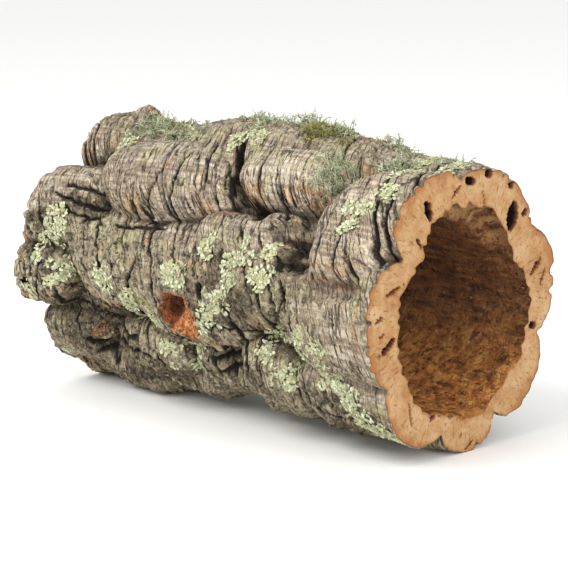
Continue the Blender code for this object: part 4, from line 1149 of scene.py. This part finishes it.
print("leaf lichens")
leafSkin = leafLichenSkin()
for firstSeed, patches in ((100, leafPatches), (200, scatteredLeaves)):
    for number, (name, patch) in enumerate(patches.items()):
        piece = makeLeaves("leaves_" + name.removeprefix("leaf_lichen_"), patch, firstSeed + number)
        piece.data.materials.append(leafSkin)
        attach(piece, "root")
        if name.startswith("leaf_lichen_"):
            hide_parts(name)

# name of the solid: x, clock, spread of the foot, reach of the strands, number of main strands
shrubs = {
    "shrub_lichen_far_crown": (-0.098, 2, 0.013, 0.013, 70),
    "shrub_lichen_mid_crown": (-0.022, 352, 0.011, 0.009, 50),
    "shrub_lichen_crest": (0.018, 354, 0.012, 0.009, 55),
    "shrub_lichen_near_crown": (0.053, 356, 0.009, 0.008, 44),
    "shrub_lichen_upper": (0.090, 24, 0.015, 0.015, 95),
    "shrub_lichen_shoulder": (0.112, 10, 0.012, 0.011, 55),
}

# Smaller bushes between them
smallShrubs = {
    "farPale": (-0.112, 10, 0.008, 0.007, 34),
    "farCrest": (-0.074, 8, 0.010, 0.010, 40),
    "saddle": (-0.048, 12, 0.009, 0.007, 34),
    "splitCrest": (0.004, 5, 0.009, 0.008, 36),
    "nearSide": (0.102, 2, 0.011, 0.009, 44),
    "nearHigh": (0.080, 346, 0.012, 0.009, 44),
    "rimHigh": (0.130, 352, 0.010, 0.006, 34),
    "backTop": (-0.060, 330, 0.010, 0.009, 38),
    "backRidge": (0.040, 312, 0.009, 0.009, 34),
}

# Cushions of short brown-green moss: x, clock, spread, reach of the strands, number of main strands
mosses = {
    "crestMoss": (0.044, 2, 0.011, 0.008, 230),
    "midMoss": (0.064, 4, 0.005, 0.004, 50),
    "farMoss": (-0.088, 356, 0.009, 0.006, 90),
    "backMoss": (0.000, 336, 0.010, 0.006, 110),
}

strand = {
    "radius": 0.00050,
    "sides": 3,
    "points": 6,               # along a strand
    "branches": 3,             # on a main strand
    "twigs": 2,                # on a branch
    "tip": 0.30,               # share of the thickness left at the tip
    "thinning": 0.80,          # of a child against its parent
    "childLength": (0.35, 0.65),       # share of its parent's
    "foot": 0.0012,            # how deep it is rooted in the bark
    "droop": 0.10,
    "barkRadius": 0.081,
}


# Paths that leave their starts in a direction and bend: start + direction*L*s + bend*L*s^2.
def strandPaths(start, direction, length, bend):
    s = np.linspace(0, 1, strand["points"])[None, :, None]
    far = length[:, None, None] * s
    return start[:, None] + direction[:, None] * far + bend[:, None] * (far * s)


# A strand is a three-sided section carried along its path and tapered to its tip, where it closes.
def makeStrands(name, paths, radii, tints):
    count, steps, _ = paths.shape
    tangent = np.gradient(paths, axis=1)
    tangent /= np.linalg.norm(tangent, axis=2, keepdims=True) + 1e-9
    side = np.cross(tangent, np.array([0.31, 0.17, 0.93]))
    side /= np.linalg.norm(side, axis=2, keepdims=True) + 1e-9
    up = np.cross(tangent, side)
    taper = np.linspace(1.0, strand["tip"], steps)[None, :, None, None] * radii[:, None, None, None]
    sides = strand["sides"]
    turn = (np.arange(sides) / sides * 2 * math.pi)[None, None, :, None]
    points = paths[:, :, None] + taper * (np.cos(turn) * side[:, :, None] + np.sin(turn) * up[:, :, None])
    points = insideBox(points)
    quads, last = gridFaces(steps, sides), (steps - 1) * sides
    caps = [[0, 2, 1], [last, last + 1, last + 2]]
    triangles = np.concatenate([quads[:, [0, 1, 2]], quads[:, [0, 2, 3]], caps])
    faces = ((np.arange(count) * steps * sides)[:, None, None] + triangles[None]).reshape(-1, 3)
    piece = meshObject(name, points.reshape(-1, 3), faces)
    shape = points.shape[:3]
    setAttribute(piece, "tip", np.broadcast_to(np.linspace(0, 1, steps)[None, :, None], shape).ravel())
    setAttribute(piece, "tint", np.broadcast_to(tints[:, None, None], shape).ravel())
    return piece


# A bush: main strands fan out from a foot on the bark, each carries branches, and each branch twigs. Moss is
# the same with upright strands and no twigs.
def makeBush(name, bush, seed, branches, spreading, wildness):
    x0, clock0, spread, reach, count = bush
    rng = np.random.default_rng(seed)
    angle, share = rng.uniform(0, 2 * math.pi, count), np.sqrt(rng.uniform(0, 1, count))
    share = share * (0.8 + 0.3 * np.sin(3 * angle + seed))
    footX = np.clip(x0 + spread * share * np.cos(angle), cadLow[0] + 0.001, cadHigh[0] - 0.001)
    footClock = clock0 + np.degrees(spread * share * np.sin(angle) / strand["barkRadius"])
    footRadius = smoothRadius(footX, footClock)
    start = placeOnTube(footX, footClock, footRadius - strand["foot"])
    above = placeOnTube(footX, footClock, footRadius + 0.0030)
    outward = above - start
    outward /= np.linalg.norm(outward, axis=1, keepdims=True) + 1e-9
    aside = start - start.mean(axis=0)
    aside /= np.linalg.norm(aside, axis=1, keepdims=True) + 1e-9
    direction = outward * 0.8 + aside * (spreading * share[:, None]) + rng.normal(0, wildness, (count, 3))
    direction /= np.linalg.norm(direction, axis=1, keepdims=True)
    length = reach * rng.uniform(0.35, 0.85, count) * (1.1 - 0.4 * share)
    groups, radii, tints = [], [], []
    tint = rng.uniform(0, 1, count)
    thick = np.full(count, strand["radius"])
    for children in branches + (0,):
        bend = rng.normal(0, 0.40, (len(start), 3)) - np.array([0, 0, strand["droop"]])
        paths = strandPaths(start, direction, length, bend)
        groups.append(paths)
        radii.append(thick)
        tints.append(tint)
        if not children:
            break
        step = rng.integers(2, strand["points"] - 1, (len(start), children))
        rows = np.arange(len(start))[:, None]
        start = paths[rows, step].reshape(-1, 3)
        along = (paths[rows, step + 1] - paths[rows, step]).reshape(-1, 3)
        along /= np.linalg.norm(along, axis=1, keepdims=True) + 1e-9
        direction = along + rng.normal(0, 0.60, along.shape)
        direction /= np.linalg.norm(direction, axis=1, keepdims=True)
        length = np.repeat(length, children) * rng.uniform(*strand["childLength"], len(start))
        tint = np.clip(np.repeat(tint, children) + rng.uniform(-0.15, 0.15, len(start)), 0, 1)
        thick = np.repeat(thick, children) * strand["thinning"]
    return makeStrands(name, np.concatenate(groups), np.concatenate(radii), np.concatenate(tints))


# Shrub lichen: stiff forked threads that dried as they grew. Their skin is matt and grey-green, paler at the
# tips and darker in blotches. Dry moss has the same matt skin in olive brown.
def shrubLichenSkin(name, dark, mid, pale):
    material, tree, shader = newMaterial(name, 0.9, specular=0.2)
    tip, tint = (addNode(tree, "Attribute", out="Fac", attribute_name=mark) for mark in ("tip", "tint"))
    place = addNode(tree, "TexCoord", out="Object")
    mottle = addNode(tree, "TexNoise", {"Vector": place, "Scale": 260.0, "Detail": 3.0})
    tone = addNode(tree, "ValToRGB", {0: tint}, stops=((0.0, dark), (0.55, mid), (1.0, pale)))
    tone = layCoats(tree, tone, [(tip, 0.3, 1.0, 0.45, pale), (mottle, 0.5, 0.7, 0.60, dark)])
    finishSurface(tree, shader, tone, [(mottle, 1.0)], 0.0003, strength=0.5)
    return material


print("shrub lichens and moss")
shrubSkin = shrubLichenSkin("shrub lichen", "#747b58", "#a7af88", "#d9dcc0")
mossSkin = shrubLichenSkin("dry moss", "#4f4b27", "#837c44", "#b8b077")
twigs = (strand["branches"], strand["twigs"])
plants = (("bush_", shrubs, 300, shrubSkin, twigs, 0.9, 0.28),
          ("bush_", smallShrubs, 400, shrubSkin, twigs, 0.9, 0.28),
          ("moss_", mosses, 500, mossSkin, (2,), 0.5, 0.35))
for prefix, bushes, firstSeed, skin, branches, spreading, wildness in plants:
    for number, (name, bush) in enumerate(bushes.items()):
        ownName = prefix + name.removeprefix("shrub_lichen_")
        piece = makeBush(ownName, bush, firstSeed + number, branches, spreading, wildness)
        piece.data.materials.append(skin)
        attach(piece, "root")
        if name.startswith("shrub_lichen_"):
            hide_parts(name)

studio = {
    "floorTone": "#f4f4f2",
    "floorHalf": 6.0,
    "worldStrength": 1.0,
    "softboxSide": 1.5,
    "softboxTarget": (0, 0, 0.08),
    # name: place, power in watts
    "softboxes": {"keySoftbox": ((-0.4, -1.9, 1.9), 46.0), "fillSoftbox": ((2.2, -0.6, 1.0), 20.0)},
}


# A floor: a square at the height that the tube rests on, of matt white paper with hardly any fibres showing.
def makeFloor():
    half = studio["floorHalf"]
    corners = np.array([[-half, -half, 0], [half, -half, 0], [half, half, 0], [-half, half, 0]], float)
    floor = meshObject("studioFloor", corners, np.array([[0, 1, 2, 3]]), smooth=False)
    material, tree, shader = newMaterial("white studio paper", 0.9, specular=0.1)
    place = addNode(tree, "TexCoord", out="Object")
    fibres = addNode(tree, "TexNoise", {"Vector": place, "Scale": 300.0, "Detail": 2.0})
    tone = layCoats(tree, studio["floorTone"], [(fibres, 0.3, 0.7, 0.03, "#e8e8e6")])
    tree.links.new(tone, shader.inputs["Base Color"])
    floor.data.materials.append(material)


def addSoftbox(name, place, power):
    light = bpy.data.lights.new(name, "AREA")
    light.shape = "SQUARE"
    light.size = studio["softboxSide"]
    light.energy = power
    lamp = bpy.data.objects.new(name, light)
    lamp.location = place
    aim = Vector(studio["softboxTarget"]) - Vector(place)
    lamp.rotation_euler = aim.to_track_quat("-Z", "Y").to_euler()
    bpy.context.scene.collection.objects.link(lamp)


# The photograph's angle, worked out from the two ends and the outline
camera = {
    "azimuth": 45.0,
    "elevation": 10.5,
    "target": (0.0087, -0.0007, 0.0787),
    "distance": 1.19577,
    "lens": 125.0,
    "sensor": 36.0,
}


def addCamera():
    azimuth, elevation = math.radians(camera["azimuth"]), math.radians(camera["elevation"])
    level = math.cos(elevation)
    back = Vector((math.sin(azimuth) * level, -math.cos(azimuth) * level, math.sin(elevation)))
    view = bpy.data.cameras.new("camera")
    view.lens = camera["lens"]
    view.sensor_width = camera["sensor"]
    holder = bpy.data.objects.new("camera", view)
    holder.location = Vector(camera["target"]) + back * camera["distance"]
    holder.rotation_euler = back.to_track_quat("Z", "Y").to_euler()
    bpy.context.scene.collection.objects.link(holder)
    bpy.context.scene.camera = holder


print("floor, light and camera")
makeFloor()
for name, (place, power) in studio["softboxes"].items():
    addSoftbox(name, place, power)
world = bpy.data.worlds.new("studio")
world.use_nodes = True
background = world.node_tree.nodes["Background"]
background.inputs["Color"].default_value = (1, 1, 1, 1)
background.inputs["Strength"].default_value = studio["worldStrength"]
bpy.context.scene.world = world
bpy.context.scene.view_settings.view_transform = "Standard"
addCamera()
